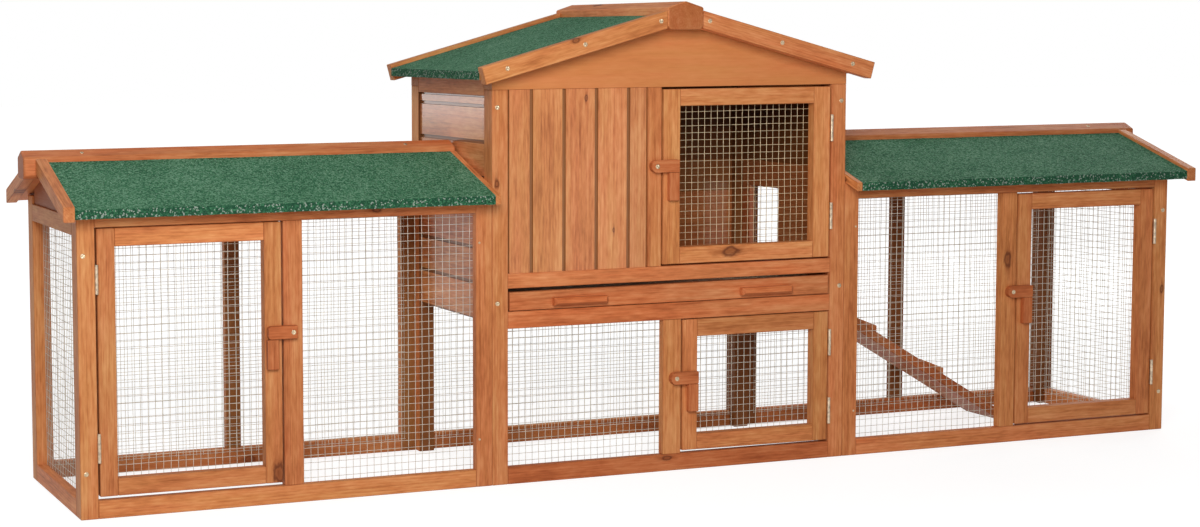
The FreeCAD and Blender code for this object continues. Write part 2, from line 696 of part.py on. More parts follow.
def door(name, left, width, low_z, height, stile, hinge_side, hinge_inset, button_rise, rounded=True):
    """A framed mesh door with two hinges on hinge_side and a turn button on the other side."""
    right = f"({left} + {width})"
    button_z = f"({low_z} + {button_rise})"
    depth = "door_thickness"
    sticks = [box((x, FRONT, low_z), (stile, depth, height)) for x in (left, f"{right} - {stile}")]
    between = f"{width} - 2 * {stile}"
    for rail_z in (low_z, f"{low_z} + {height} - door_rail_height"):
        sticks.append(box((f"{left} + {stile}", FRONT, rail_z), (between, depth, "door_rail_height")))
    block_x = f"{right} - block_inset - block_width" if hinge_side < 0 else f"{left} + block_inset"
    block_z = f"{button_z} - button_height / 2 - block_clearance - block_height"
    block_size = ("block_width", "block_thickness", "block_height")
    sticks.append(box((block_x, f"{FRONT} - block_thickness", block_z), block_size))
    node(f"{name}_door_frame", sticks)

    net_low = (f"{left} + {stile} - mesh_lap", f"{FRONT} + {depth}", f"{low_z} + door_rail_height - mesh_lap")
    net_height = f"{height} - 2 * door_rail_height + 2 * mesh_lap"
    node(f"{name}_door_mesh", [net(net_low, f"{between} + 2 * mesh_lap", net_height)])

    axis_x = f"({right} + door_gap / 2)" if hinge_side > 0 else f"({left} - door_gap / 2)"
    hinges = [
        hinge(hinge_side, axis_x, middle)
        for middle in (f"({low_z} + {hinge_inset})", f"({low_z} + {height} - {hinge_inset})")
    ]
    node(f"{name}_door_hinge_leaves", [door_leaf for _, door_leaf, _ in hinges])
    pivot_x = f"({left} - door_gap - pivot_inset)"
    if hinge_side < 0:
        pivot_x = f"({right} + door_gap + pivot_inset)"
    button, screw = turn_button(hinge_side, pivot_x, button_z, rounded)
    node(f"{name}_latch", [button])
    return [post_leaf for post_leaf, _, _ in hinges], [pin for _, _, pin in hinges], screw


def doors():
    run_low = "(rail_height + door_gap)"
    left_low = f"({run_low} + left_door_lift)"
    run_tall = f"({RUN_RAIL_BOTTOM} - rail_height - 2 * door_gap)"
    run_start = "post_width + door_gap"
    upper_low = f"({LEDGER_TOP} + door_gap)"
    upper_tall = f"(house_post_height - head_gap - {upper_low})"
    lower_tall = f"({DECK_RAIL_BOTTOM} - rail_height - 2 * door_gap)"
    left_x, right_x = (f"({run_x(side, run_start, 'run_door_width')})" for side in ("left", "right"))
    made = [
        door("left_run", left_x, "run_door_width", left_low, run_tall, "door_stile_width", -1,
             "run_hinge_inset", "run_button_rise", rounded=False),
        door("right_run", right_x, "run_door_width", run_low, run_tall, "door_stile_width", 1,
             "run_hinge_inset", "run_button_rise"),
        door("house_upper", UPPER_DOOR_LEFT, "upper_door_width", upper_low, upper_tall,
             "upper_stile_width", 1, "upper_hinge_inset", "upper_button_rise"),
        door("house_lower", LOWER_DOOR_LEFT, "lower_door_width", run_low, lower_tall, "door_stile_width", 1,
             "lower_hinge_inset", "lower_button_rise"),
    ]
    node("hinge_post_leaves", [leaf for leaves, _, _ in made for leaf in leaves])
    node("hinge_pins", [pin for _, pins, _ in made for pin in pins])
    node("latch_screws", [screw for _, _, screw in made])


def ramp():
    """Ramp in the right run, from under the house doorway down to the ground, with wedge-shaped treads."""
    fall = f"(({RAMP_TOP} - ramp_thickness) / ramp_run)"
    wall = f"({HALF_HOUSE} - siding_recess)"
    board_low = (wall, "doorway_start", f"{RAMP_TOP} - ramp_thickness")
    ramp_fall = f"(-{fall} * ramp_run)"
    node("ramp_board", [slab(board_low, "doorway_width", "ramp_run", "ramp_thickness", ramp_fall, "x")])
    cleats = []
    for step in range(CLEATS):
        start = f"(cleat_start + {step} * cleat_pitch)"
        low = (f"{wall} + {start}", "doorway_start", f"{RAMP_TOP} - {start} * {fall}")
        cleat_fall = f"(-{fall} * cleat_width)"
        cleat = slab(low, "doorway_width", "cleat_width", "cleat_thickness", cleat_fall, "x", "cleat_edge")
        cleats.append(cleat)
    node("ramp_cleats", cleats)
    bearer_z = f"{SIDING_BOTTOM} - bearer_height"
    bearer_low = (BAY_RIGHT, f"{INNER_FRONT} + bearer_end_gap", bearer_z)
    bearer_size = ("post_width", f"{BAY_DEPTH} - 2 * bearer_end_gap", "bearer_height")
    node("ramp_bearer", [box(bearer_low, bearer_size)])


def frame_screws():
    """Wood screws through the front posts and the house's front rakes."""
    def screw(x, face_y, z):
        head_y = f"{face_y} - screw_head_height"
        head = rod((x, head_y, z), "screw_head_radius", "screw_head_height", along="y")
        shank = rod((x, head_y, z), "screw_radius", "screw_head_height + screw_length", along="y")
        return joined([head, shank])

    screws = []
    for sign in (-1, 1):
        for x, low, high in ((f"({HALF_LENGTH} - screw_edge)", "screw_end", "run_height - screw_end"),
                             (f"({HALF_HOUSE} - screw_edge)", "deck_height + rail_height / 2",
                              "house_post_height - rail_height")):
            for z in (low, high):
                screws.append(screw(f"{sign} * {x}", FRONT, z))
        rake_face = f"{FRONT} - house_verge - house_rake_thickness"
        for step in range(RAKE_SCREWS):
            away = f"(house_ridge_width / 2 + rake_screw_start + {step} * rake_screw_spacing)"
            below = f"({away} - house_ridge_width / 2) * tan(house_pitch)"
            middle = f"{HOUSE_UNDER_RIDGE} - {below} + {HOUSE_ROOF_DEPTH} / 2"
            screws.append(screw(f"{sign} * {away}", rake_face, middle))
    node("frame_screws", screws)


def build():
    for side in ("left", "right"):
        run_frame(side, f"{side}_run_front_frame", back=False)
        run_frame(side, f"{side}_run_back_frame", back=True)
        run_end(side)
        run_mesh(side)
        run_roof(side)
    house_frame()
    house_boards()
    house_mesh()
    house_roof()
    tray()
    doors()
    ramp()
    frame_screws()
    doc.recompute()


def write():
    for thing in doc.Objects:
        if "Invalid" in thing.State or "Error" in thing.State:
            raise RuntimeError(f"{thing.Label} did not build: {thing.State}")
    for thing in nodes:
        if thing.Shape.isNull() or not thing.Shape.isValid():
            raise RuntimeError(f"{thing.Label} has no valid shape")
    os.makedirs("parts", exist_ok=True)
    for thing in nodes:
        thing.Shape.exportStep(f"parts/{thing.Label}.step")
        print(thing.Label, len(thing.Shape.Solids), "solids")
    print(len(nodes), "sub-parts")


build()
write()
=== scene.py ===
import json
import math
import random

import bmesh
import bpy
from mathutils import Matrix, Vector, noise


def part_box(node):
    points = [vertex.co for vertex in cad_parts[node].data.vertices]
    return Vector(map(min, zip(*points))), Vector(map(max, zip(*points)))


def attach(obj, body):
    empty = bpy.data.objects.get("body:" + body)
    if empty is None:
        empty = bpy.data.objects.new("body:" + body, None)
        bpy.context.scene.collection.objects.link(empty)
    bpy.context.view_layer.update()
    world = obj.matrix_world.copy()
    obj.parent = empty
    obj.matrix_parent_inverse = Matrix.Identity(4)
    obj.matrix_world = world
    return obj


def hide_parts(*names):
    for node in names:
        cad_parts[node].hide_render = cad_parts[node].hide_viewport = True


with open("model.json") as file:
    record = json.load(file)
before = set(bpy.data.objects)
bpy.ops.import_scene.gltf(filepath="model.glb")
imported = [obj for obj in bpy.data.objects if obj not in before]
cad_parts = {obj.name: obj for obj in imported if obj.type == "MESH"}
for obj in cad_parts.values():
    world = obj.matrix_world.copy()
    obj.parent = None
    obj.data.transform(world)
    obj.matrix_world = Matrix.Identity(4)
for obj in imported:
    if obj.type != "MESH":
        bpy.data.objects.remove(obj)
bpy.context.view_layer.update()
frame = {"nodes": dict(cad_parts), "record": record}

bl_info = {
    "name": "Two-storey animal hutch",
    "version": (1, 0, 0),
    "blender": (4, 5, 0),
    "location": "3D View > Sidebar > Hutch",
    "description": "Dresses the hutch in stained fir, green roofing felt, welded wire and zinc",
    "category": "Object",
}

NODES = frame["nodes"]
BODY_OF = {
    node: body
    for body, members in frame["record"]["behaviour"]["bodies"].items()
    for node in members
}

SIDES = ("left", "right")
DOORS = ("left_run", "right_run", "house_upper", "house_lower")
UP = Vector((0, 0, 1))
FORWARD = Vector((0, -1, 0))
MM = 0.001

FRAME_NODES = [f"{side}_run_{part}" for side in SIDES for part in ("front_frame", "back_frame", "end_rails")]
FRAME_NODES += ["house_corner_posts", "house_front_frame", "house_back_frame", "house_side_rails"]
BACK_NODES = ["left_run_back_frame", "right_run_back_frame", "house_back_frame"]
SIDING_NODES = ["house_front_boards", "house_left_siding", "house_right_siding", "house_back_siding"]
PANEL_NODES = ["left_run_gable_board", "right_run_gable_board", "house_gable_boards"]
PANEL_NODES += ["left_run_roof_boards", "right_run_roof_boards", "house_roof_boards"]
ROOFS = ("left_run", "right_run", "house")
NET_NODES = ["left_run_mesh", "right_run_mesh", "house_mesh"] + [f"{door}_door_mesh" for door in DOORS]
HINGE_NODES = ["hinge_post_leaves", "hinge_pins"] + [f"{door}_door_hinge_leaves" for door in DOORS]

# Knots that show on the front of the hutch: the node, then x, y, z and radius in millimetres.
# The other sticks of these nodes are clear.
FRONT_KNOTS = {
    "house_upper_door_frame": [(114, -183, 389, 8.5)],
    "house_front_boards": [(-172, -181, 668, 2.8), (-118, -181, 436, 2.5)],
    "house_corner_posts": [(-343, -183, 524, 4.5)],
    "house_lower_door_frame": [],
    "house_rakes": [(-212, -221, 768, 4)],
    "right_run_front_frame": [(711, -183, 348, 7), (1072, -183, 276, 4)],
    "house_front_frame": [(-12, -183, 24, 5)],
    "left_run_door_frame": [(-742, -183, 52, 9)],
    "house_left_siding": [],
}
KNOT_CHANCE = 0.22
KNOT_RADIUS = (3.5, 7)
FAR_FROM_KNOT = (9, 9, 0)
PITH_DISTANCE = (12, 70)
GRAIN_LENGTH = 40

# How pale and how yellow a stick is, where that shows: the node, then x, y and z in millimetres of a place in
# the stick, its paleness and its yellowness. Blocks and buttons have the deep tone.
DEEP_TONE = (-0.4, -0.6)
STICK_TONES = {
    "left_run_front_frame": [(-1065, -166, 253, 0.25, 0.65), (-714, -175, 253, -0.1, 0.15)],
    "left_run_door_frame": [(-1031, -173, 253, -0.1, 0.7)],
    # Painted shade: the left gable board is made darker for the shadow under its rake.
    "left_run_gable_board": [(-1070, 0, 527, -1.3, -0.7)],
    "left_run_ridge": [(-741, 0, 564, 0.1, -0.2)],
    "right_run_ridge": [(741, 0, 564, 0.1, -0.2)],
    "house_front_frame": [(0, -175, 20, *DEEP_TONE), (0, -175, 287, 0.3, -0.3)],
    "house_left_siding": [(-344, 0, 625, 0.6, 0.4)],
    "house_upper_door_frame": [(149, -173, 386, 0.85, 0.5)],
    "house_gable_boards": [(0, -177, 744, 0.55, 0.75)],
    "house_ridge": [(0, 0, 805, 0.9, 0.2)],
    "tray_front": [(0, -176, 321, 0.05, -0.25)],
    "tray_pulls": [(-186, -191, 316, 0.4, -0.6), (186, -191, 316, 0.3, -0.6)],
    # Partly painted shade: the ramp inside the run is made darker for the shade it stands in.
    "ramp_board": [(599, 71, 160, -0.7, -0.3)],
}

# How much darker a face is painted than a plain one. End grain holds more stain. Grooves and eased edges hold
# stain and also get painted shade, which is darker on edges that face down. The back frames and the inside of
# the house get only painted shade. Past 1.4 the colour is also multiplied darker as painted shade.
BACK_RAIL_PAINTED_SHADE = 0.8
HOUSE_RAIL_PAINTED_SHADE = 1.2
BACK_POST_PAINTED_SHADE = 1.5
RIGHT_POST_PAINTED_SHADE = 1.75
END_SOAK = 0.6
RIDGE_END_SOAK = 1.3
GROOVE_STAIN_AND_SHADE = 1.6
EASED_STAIN_AND_SHADE = 0.6
EASED_TILT_PAINTED_SHADE = 0.8
INNER_BOARD_PAINTED_SHADE = 1.0
INNER_POST_PAINTED_SHADE = 1.8
DIM_PAINTED_SHADE = 2.6

# The heights between which the painted shade inside the house deepens, and the x past which the back frames
# get painted shade.
DIM_FROM = 0.45
DIM_TO = 0.62
DIM_STEPS = 8
SHADED_FROM = -1.05

# Cosines past which a face counts as looking one way, as a board's broad face, and as square to its stick.
FACING = 0.8
BROAD_FACE = 0.95
SQUARE_FACE = 0.97

# Widths under which a face counts as an edge, and a stick as a block or button.
NARROW_FACE = 2 * MM
SMALL_PIECE = 80 * MM

# How the wooden pieces and the pan are shaped.
GROOVE_DEPTH = 2.4 * MM
GROOVE_SLOPE = 0.5 * MM
RIDGE_ROUNDING = 3 * MM
CLEAT_ROUNDING = 2.5 * MM
PANEL_CHAMFER = 0.4 * MM
PULL_CHAMFER = 4.5 * MM
PULL_ROUNDING = 0.8 * MM
PAN_ROUNDING = 0.3 * MM
BUTTON_ROUNDING = 1.4 * MM
BUTTON_SQUARE_END = 5.5 * MM
BUTTON_TIP = 1.5 * MM

# How far the tray's front hangs below its opening at each end, and how far two doors' edges are shifted.
TRAY_DROP = (4 * MM, 1.8 * MM)
LEFT_DOOR_LIFT = 1.5 * MM
LOWER_DOOR_RISE = 1.5 * MM
LOWER_DOOR_LIFT = 2 * MM

# The felt's rounding at the eave, its stretches, its ragged drip edge and its waves per metre. A face counts
# as flat or as steep by how far its normal points up.
FELT_NOSE = 1.9 * MM
FELT_STEP_ALONG = 12 * MM
FELT_STEP_DOWN = 30 * MM
FELT_FLAT = 0.9
FELT_STEEP = 0.4
DRIP_HEIGHT = 0.5 * MM
DRIP_RAG = 0.8 * MM
DRIP_WAVES = 140
LIE_WAVES = 22

# Where a net's uprights and levels lie in its thickness, in gauges, and how the nets' seeds are spread.
UPRIGHT_LAYER = 0.5
LEVEL_LAYER = 1.35
SEED_PER_SETTING = 1.7
SEED_PER_NET = 3.1
SEED_PER_LETTER = 0.9

# Small heads that show: places in metres, and sizes beside a full screw head.
RIDGE_CAP = 12 * MM
RIDGE_SCREWS = (0.443, 1.028)
RIDGE_SCREW_SIZE = 0.8
POST_NAILS = (0.083, 0.424)
POST_NAIL_X = 0.376
POST_NAIL_SIZE = 0.5

# A screw head, beside its radius and its height: its dome, and the cross in it.
DOME = 0.65
CROSS_HALF_WIDTH = 0.18
CROSS_REACH = 0.68
CROSS_DEPTH = 0.75
HEAD_SKIRT = 0.5 * MM

# The camera, as solved from the hutch's straight edges: metres and degrees.
CAMERA_PLACE = (-1.8710, -3.5648, 0.7830)
CAMERA_YAW = 19.888
CAMERA_PITCH = 4.793
CAMERA_ROLL = -0.427
CAMERA_SHIFT = (0.225, -0.04042)
SENSOR_WIDTH = 36

# Each lamp's place, the point that it is aimed at, and its width and height in metres.
LAMPS = {
    "key": ((-1.4, -2.6, 1.5), (0, 0, 0.4), (1.2, 1.2)),
    "back": ((-1.6, 2.4, 3.2), (0, 0, 0.4), (2.4, 2.4)),
    "side": ((3.2, 1.8, 2.0), (0.2, 0, 0.4), (2.0, 2.0)),
    "sheen": ((-1.57, 2.8, 0.66), (-0.35, 0, 0.66), (0.6, 0.3)),
}
FLOOR_SIZE = 40.0
FLOOR_LEVEL = -0.3 * MM


def paint(red, green, blue):
    """A colour given as the eye sees it, from 0 to 255, as the linear colour that a shader takes."""
    def linear(level):
        level /= 255
        return level / 12.92 if level <= 0.04045 else ((level + 0.055) / 1.055) ** 2.4

    return linear(red), linear(green), linear(blue)


class WoodSettings(bpy.types.PropertyGroup):
    """The stained fir of the frames, doors and boards."""

    pale: bpy.props.FloatVectorProperty(
        name="Pale wood", description="Colour of the soft early wood", subtype="COLOR",
        default=paint(228, 163, 110), min=0, max=1)
    middle: bpy.props.FloatVectorProperty(
        name="Middle wood", description="Colour that most of the wood has", subtype="COLOR",
        default=paint(206, 130, 79), min=0, max=1)
    deep: bpy.props.FloatVectorProperty(
        name="Deep wood", description="Colour of the hard late wood", subtype="COLOR",
        default=paint(150, 78, 38), min=0, max=1)
    knot: bpy.props.FloatVectorProperty(
        name="Knot", description="Colour of the knots", subtype="COLOR",
        default=paint(92, 42, 22), min=0, max=1)
    ring_width: bpy.props.FloatProperty(
        name="Ring width", description="Thickness of one year's growth", subtype="DISTANCE", unit="LENGTH",
        default=4.2 * MM, min=0.5 * MM)
    rounding: bpy.props.FloatProperty(
        name="Edge rounding", description="Radius that the sticks' edges are eased to", subtype="DISTANCE",
        unit="LENGTH", default=1.2 * MM, min=0)
    groove: bpy.props.FloatProperty(
        name="Board groove", description="Half the width of the groove where two boards meet",
        subtype="DISTANCE", unit="LENGTH", default=2.7 * MM, min=0)
    seed: bpy.props.IntProperty(
        name="Seed", description="Picks the grain, tone and knots of every stick", default=4, min=0)


class FeltSettings(bpy.types.PropertyGroup):
    """The mineral roofing felt."""

    green: bpy.props.FloatVectorProperty(
        name="Green", description="Colour of most of the granules", subtype="COLOR",
        default=paint(63, 120, 84), min=0, max=1)
    shade: bpy.props.FloatVectorProperty(
        name="Shade", description="Colour of the dark granules and the bitumen between them", subtype="COLOR",
        default=paint(33, 75, 53), min=0, max=1)
    fleck: bpy.props.FloatVectorProperty(
        name="Fleck", description="Colour of the palest granules", subtype="COLOR",
        default=paint(124, 166, 137), min=0, max=1)
    granule: bpy.props.FloatProperty(
        name="Granule", description="Width of one granule", subtype="DISTANCE", unit="LENGTH",
        default=2.2 * MM, min=0.5 * MM)
    wave: bpy.props.FloatProperty(
        name="Wave", description="How far the sheet lifts and dips", subtype="DISTANCE", unit="LENGTH",
        default=0.5 * MM, min=0)


class WireSettings(bpy.types.PropertyGroup):
    """The welded wire nets."""

    colour: bpy.props.FloatVectorProperty(
        name="Colour", description="Colour of the wire where it is cleanest", subtype="COLOR",
        default=(0.78, 0.71, 0.59), min=0, max=1)
    stained: bpy.props.FloatVectorProperty(
        name="Stained", description="Colour of the upper door's wire, which caught some of the stain",
        subtype="COLOR", default=(0.9, 0.7, 0.44), min=0, max=1)
    pitch: bpy.props.FloatProperty(
        name="Pitch", description="Distance from one wire to the next", subtype="DISTANCE", unit="LENGTH",
        default=12.7 * MM, min=4 * MM)
    gauge: bpy.props.FloatProperty(
        name="Gauge", description="Thickness of a wire", subtype="DISTANCE", unit="LENGTH",
        default=0.9 * MM, min=0.3 * MM)
    wobble: bpy.props.FloatProperty(
        name="Wobble", description="How far the wires stray from straight", subtype="DISTANCE", unit="LENGTH",
        default=2.4 * MM, min=0)
    seed: bpy.props.IntProperty(
        name="Seed", description="Picks the way the wires stray", default=3, min=0)


class HardwareSettings(bpy.types.PropertyGroup):
    """Hinges, screws and the galvanized pan."""

    hinge: bpy.props.FloatVectorProperty(
        name="Hinge", description="Colour of the dull plated hinges", subtype="COLOR",
        default=(0.75, 0.6, 0.43), min=0, max=1)
    screw: bpy.props.FloatVectorProperty(
        name="Screw", description="Colour of the yellow zinc on the screws", subtype="COLOR",
        default=(0.74, 0.58, 0.38), min=0, max=1)
    zinc: bpy.props.FloatVectorProperty(
        name="Zinc", description="Colour of the galvanized pan", subtype="COLOR",
        default=(0.52, 0.46, 0.38), min=0, max=1)
    head_radius: bpy.props.FloatProperty(
        name="Screw head", description="Radius of a screw's head", subtype="DISTANCE", unit="LENGTH",
        default=4 * MM, min=1 * MM)
    head_height: bpy.props.FloatProperty(
        name="Head height", description="How far a screw's head stands up", subtype="DISTANCE", unit="LENGTH",
        default=1.2 * MM, min=0.2 * MM)
    seed: bpy.props.IntProperty(
        name="Seed", description="Picks how far each screw is turned", default=8, min=0)


class StageSettings(bpy.types.PropertyGroup):
    """Floor, light and camera."""

    fill: bpy.props.FloatProperty(
        name="Fill", description="Strength of the light from all round", default=0.17, min=0)
    gleam: bpy.props.FloatProperty(
        name="Gleam", description="Strength of the surroundings where a glossy surface mirrors them",
        default=0.4, min=0)
    key: bpy.props.FloatProperty(
        name="Key lamp", description="Power of the large lamp at the front left", unit="POWER",
        default=62, min=0)
    back: bpy.props.FloatProperty(
        name="Back lamp", description="Power of the lamp behind the hutch", unit="POWER", default=36, min=0)
    side: bpy.props.FloatProperty(
        name="Side lamp", description="Power of the lamp at the back right", unit="POWER", default=40, min=0)
    sheen: bpy.props.FloatProperty(
        name="Sheen lamp", description="Power of the low lamp that the left siding mirrors", unit="POWER",
        default=2.3, min=0)
    lens: bpy.props.FloatProperty(
        name="Lens", description="Focal length on a 36 mm sensor", unit="CAMERA", default=64.9, min=1)


class NodeMaker:
    """Adds nodes to one tree. An input that is given a socket is linked to it, and set to any other value."""

    def __init__(self, tree):
        self.tree = tree

    def add(self, kind, inputs=None, **settings):
        """A new node with its settings made and its inputs, by name or place, filled in."""
        made = self.tree.nodes.new(kind)
        for name, value in settings.items():
            setattr(made, name, value)
        for key, value in (inputs or {}).items():
            if isinstance(value, bpy.types.NodeSocket):
                self.tree.links.new(value, made.inputs[key])
            else:
                made.inputs[key].default_value = value
        return made

    def math(self, operation, *values):
        """The result of a sum on numbers."""
        return self.add("ShaderNodeMath", dict(enumerate(values)), operation=operation).outputs[0]

    def vector(self, operation, *values):
        """The result of a sum on vectors."""
        made = self.add("ShaderNodeVectorMath", dict(enumerate(values)), operation=operation)
        return made.outputs["Value" if operation == "LENGTH" else "Vector"]

    def scaled(self, vector, factor):
        """A vector made longer or shorter."""
        return self.add("ShaderNodeVectorMath", {0: vector, "Scale": factor}, operation="SCALE").outputs[0]

    def noise(self, vector, stretch, detail=2, output=0):
        """Soft noise, with the number of its waves per metre given along each axis."""
        stretched = self.vector("MULTIPLY", vector, stretch)
        made = self.add("ShaderNodeTexNoise", {"Vector": stretched, "Scale": 1, "Detail": detail})
        return made.outputs[output]

    def stray(self, vector, stretch, detail=2):
        """Soft noise that goes as far one way as the other along each axis."""
        return self.vector("SUBTRACT", self.noise(vector, stretch, detail, 1), (0.5, 0.5, 0.5))

    def place(self):
        """Where a point lies in its piece."""
        return self.add("ShaderNodeTexCoord").outputs["Object"]

    def ramp(self, factor, *stops):
        """A colour that changes with a number, through stops of a place and a colour."""
        made = self.add("ShaderNodeValToRGB", {0: factor})
        elements = made.color_ramp.elements
        elements.remove(elements[1])
        elements[0].position = stops[0][0]
        elements[0].color = (*stops[0][1], 1)
        for place, colour in stops[1:]:
            elements.new(place).color = (*colour, 1)
        return made.outputs[0]

    def level(self, factor, *stops):
        """A number that changes with another, through stops of a place and a number."""
        return self.ramp(factor, *((place, (value,) * 3) for place, value in stops))

    def mix(self, factor, under, over):
        """One colour laid over another."""
        over = over if isinstance(over, bpy.types.NodeSocket) else (*over, 1)
        under = under if isinstance(under, bpy.types.NodeSocket) else (*under, 1)
        return self.add("ShaderNodeMix", {0: factor, 6: under, 7: over}, data_type="RGBA").outputs[2]

    def attribute(self, name, output="Vector"):
        """What a mesh says of itself under a name."""
        return self.add("ShaderNodeAttribute", attribute_name=name).outputs[output]


def emptied(holder):
    """A maker for the nodes of a material or a world, which are cleared first."""
    holder.use_nodes = True
    holder.node_tree.nodes.clear()
    return NodeMaker(holder.node_tree)


def new_finish(name):
    """An empty material, with its surface shader and a maker for its other nodes."""
    material = bpy.data.materials.new(name)
    make = emptied(material)
    surface = make.add("ShaderNodeBsdfPrincipled")
    make.add("ShaderNodeOutputMaterial", {"Surface": surface.outputs[0]})
    return material, make, surface


def clothe(make, surface, colour, rough, relief, strength, distance):
    """Gives a surface its colour, its roughness and a fine relief of a strength and a depth."""
    bump = make.add("ShaderNodeBump", {"Strength": strength, "Distance": distance, "Height": relief})
    for name, socket in (("Base Color", colour), ("Roughness", rough), ("Normal", bump.outputs[0])):
        make.tree.links.new(socket, surface.inputs[name])


def stained_fir(name, ring_scale=1.0, figure=1.0, coat=0.08, coat_dullness=0.34):
    """Stained fir: growth rings, fibres, blotches, knots, faces that soaked up more of the stain, and painted
    shade.
    """
    look = bpy.context.scene.hutch_wood
    material, make, surface = new_finish(name)
    grain = make.attribute("grain")
    tone = make.add("ShaderNodeSeparateXYZ", {0: make.attribute("tone")})
    soak = make.attribute("soak", "Fac")

    knot = make.attribute("knot")
    ragged = make.math("MULTIPLY_ADD", make.noise(grain, (60, 130, 130), 3), 1.3, -0.65)
    oval = make.vector("MULTIPLY", knot, (0.55, 1, 0))
    from_knot = make.math("ADD", make.vector("LENGTH", oval), ragged)
    tail = make.math("ADD", make.vector("LENGTH", make.vector("MULTIPLY", knot, (0.16, 0.8, 0))), ragged)
    swell = make.math("DIVIDE", 0.008, make.math("MULTIPLY_ADD", from_knot, from_knot, 1))

    bent = make.vector("MULTIPLY_ADD", make.stray(grain, (1.7, 11, 11)), (0, 0.02, 0.02), grain)
    across = make.vector("LENGTH", make.vector("MULTIPLY", bent, (0, 1, 1)))
    years = make.math("DIVIDE", make.math("ADD", across, swell), look.ring_width * ring_scale)
    uneven = make.math("MULTIPLY_ADD", make.noise(grain, (1.6, 45, 45), 2), 2.2, years)
    ring = make.level(make.math("FRACT", uneven), (0, 0.05), (0.5, 0.22), (0.84, 1), (0.95, 0.7), (1, 0.05))
    fibre = make.noise(grain, (16, 760, 760), 3)
    streak = make.noise(grain, (2.4, 150, 150), 3)
    fleck = make.noise(grain, (45, 260, 260), 2)
    mottle = make.noise(grain, (22, 85, 85), 3)
    blotch = make.noise(grain, (4.5, 24, 24), 3)

    depth = make.math("MULTIPLY", make.math("SUBTRACT", ring, 0.36), 0.13)
    shares = ((fibre, 0.55), (streak, 0.42), (fleck, 0.55), (mottle, 0.55), (blotch, 0.8))
    for pattern, share in shares:
        depth = make.math("MULTIPLY_ADD", make.math("SUBTRACT", pattern, 0.5), share, depth)
    depth = make.math("MULTIPLY_ADD", depth, figure, 0.42)
    wood = make.ramp(depth, (0.05, look.pale), (0.45, look.middle), (0.95, look.deep))
    yellow = make.math("SUBTRACT", tone.outputs[1], 1.2)
    hue = make.math("MULTIPLY_ADD", make.noise(grain, (5, 45, 45), 3), 2.4, yellow)
    shift = make.math("MULTIPLY_ADD", hue, 0.5, 0.25)
    tint = make.ramp(shift, (0, (1.06, 0.8, 0.72)), (0.2, (1.04, 0.92, 0.91)), (0.9, (0.98, 1.02, 0.88)))
    wood = make.vector("MULTIPLY", wood, tint)
    wood = make.scaled(wood, make.math("MULTIPLY_ADD", tone.outputs[0], 0.24, 0.88))
    wood = make.mix(make.level(tail, (0.35, 0.55), (1.0, 0)), wood, look.deep)
    core = make.level(make.math("MULTIPLY", from_knot, 0.5), (0, 0.5), (0.26, 0.34), (0.4, 0.85), (0.5, 0.6),
                      (0.62, 0.15), (0.8, 0))
    wood = make.mix(core, wood, look.knot)
    # Painted shade: each face's value mixes the wood towards the deep stain, and past 1.4 also multiplies it
    # darker, to stand for shade on back and inner faces. End grain, grooves and edges get real stain from the
    # same value.
    wood = make.mix(make.math("MULTIPLY", soak, 0.5), wood, look.deep)
    shade = make.ramp(make.math("MULTIPLY", soak, 0.25), (0.35, (1, 1, 1)), (0.375, (0.75, 0.94, 0.9)),
                      (0.75, (0.27, 0.33, 0.31)))
    wood = make.vector("MULTIPLY", wood, shade)

    relief = make.math("MULTIPLY_ADD", fibre, 0.7, make.math("MULTIPLY", ring, 0.3))
    rough = make.math("MULTIPLY_ADD", fibre, 0.24, 0.44)
    surface.inputs["Specular IOR Level"].default_value = 0.15
    surface.inputs["Coat Weight"].default_value = coat
    surface.inputs["Coat Roughness"].default_value = coat_dullness
    clothe(make, surface, wood, rough, relief, 0.35, 0.4 * MM)
    return material


def stained_boards(name):
    """The same fir sawn into thin boards, with broader rings on their faces and a thicker coat."""
    return stained_fir(name, ring_scale=1.5, coat=0.6, coat_dullness=0.16)


def smooth_panels(name):
    """Stained plywood, with hardly any figure."""
    return stained_fir(name, ring_scale=3, figure=0.25)


def green_felt(name):
    """Green mineral felt: granules of several shades, darker and more flecked on its steep faces, such as the
    turned-down eave.
    """
    look = bpy.context.scene.hutch_felt
    material, make, surface = new_finish(name)
    place = make.place()
    edge = make.attribute("edge", "Fac")
    per_metre = 1 / look.granule
    granules = make.add("ShaderNodeTexVoronoi", {"Vector": place, "Scale": per_metre})
    shade_of = make.add("ShaderNodeSeparateXYZ", {0: granules.outputs["Color"]})
    clump = make.noise(place, (per_metre / 3,) * 3, 3)
    patch = make.noise(place, (11, 11, 11), 3)

    depth = make.math("MULTIPLY_ADD", shade_of.outputs[0], 0.55, make.math("MULTIPLY", clump, 0.45))
    depth = make.math("MULTIPLY_ADD", patch, 0.35, make.math("SUBTRACT", depth, 0.17))
    depth = make.math("MULTIPLY_ADD", edge, -0.32, depth)
    felt = make.ramp(depth, (0.16, look.shade), (0.5, look.green), (0.86, look.fleck))
    bright = make.math("GREATER_THAN", shade_of.outputs[1], make.math("MULTIPLY_ADD", edge, -0.09, 0.955))
    speck = make.mix(edge, look.fleck, (0.34, 0.4, 0.34))
    felt = make.mix(make.math("MULTIPLY", bright, 0.75), felt, speck)

    grit = make.math("SUBTRACT", clump, granules.outputs["Distance"])
    rough = make.math("MULTIPLY_ADD", shade_of.outputs[2], 0.25, 0.7)
    surface.inputs["Specular IOR Level"].default_value = 0.15
    clothe(make, surface, felt, rough, grit, 0.8, 1.2 * MM)
    return material


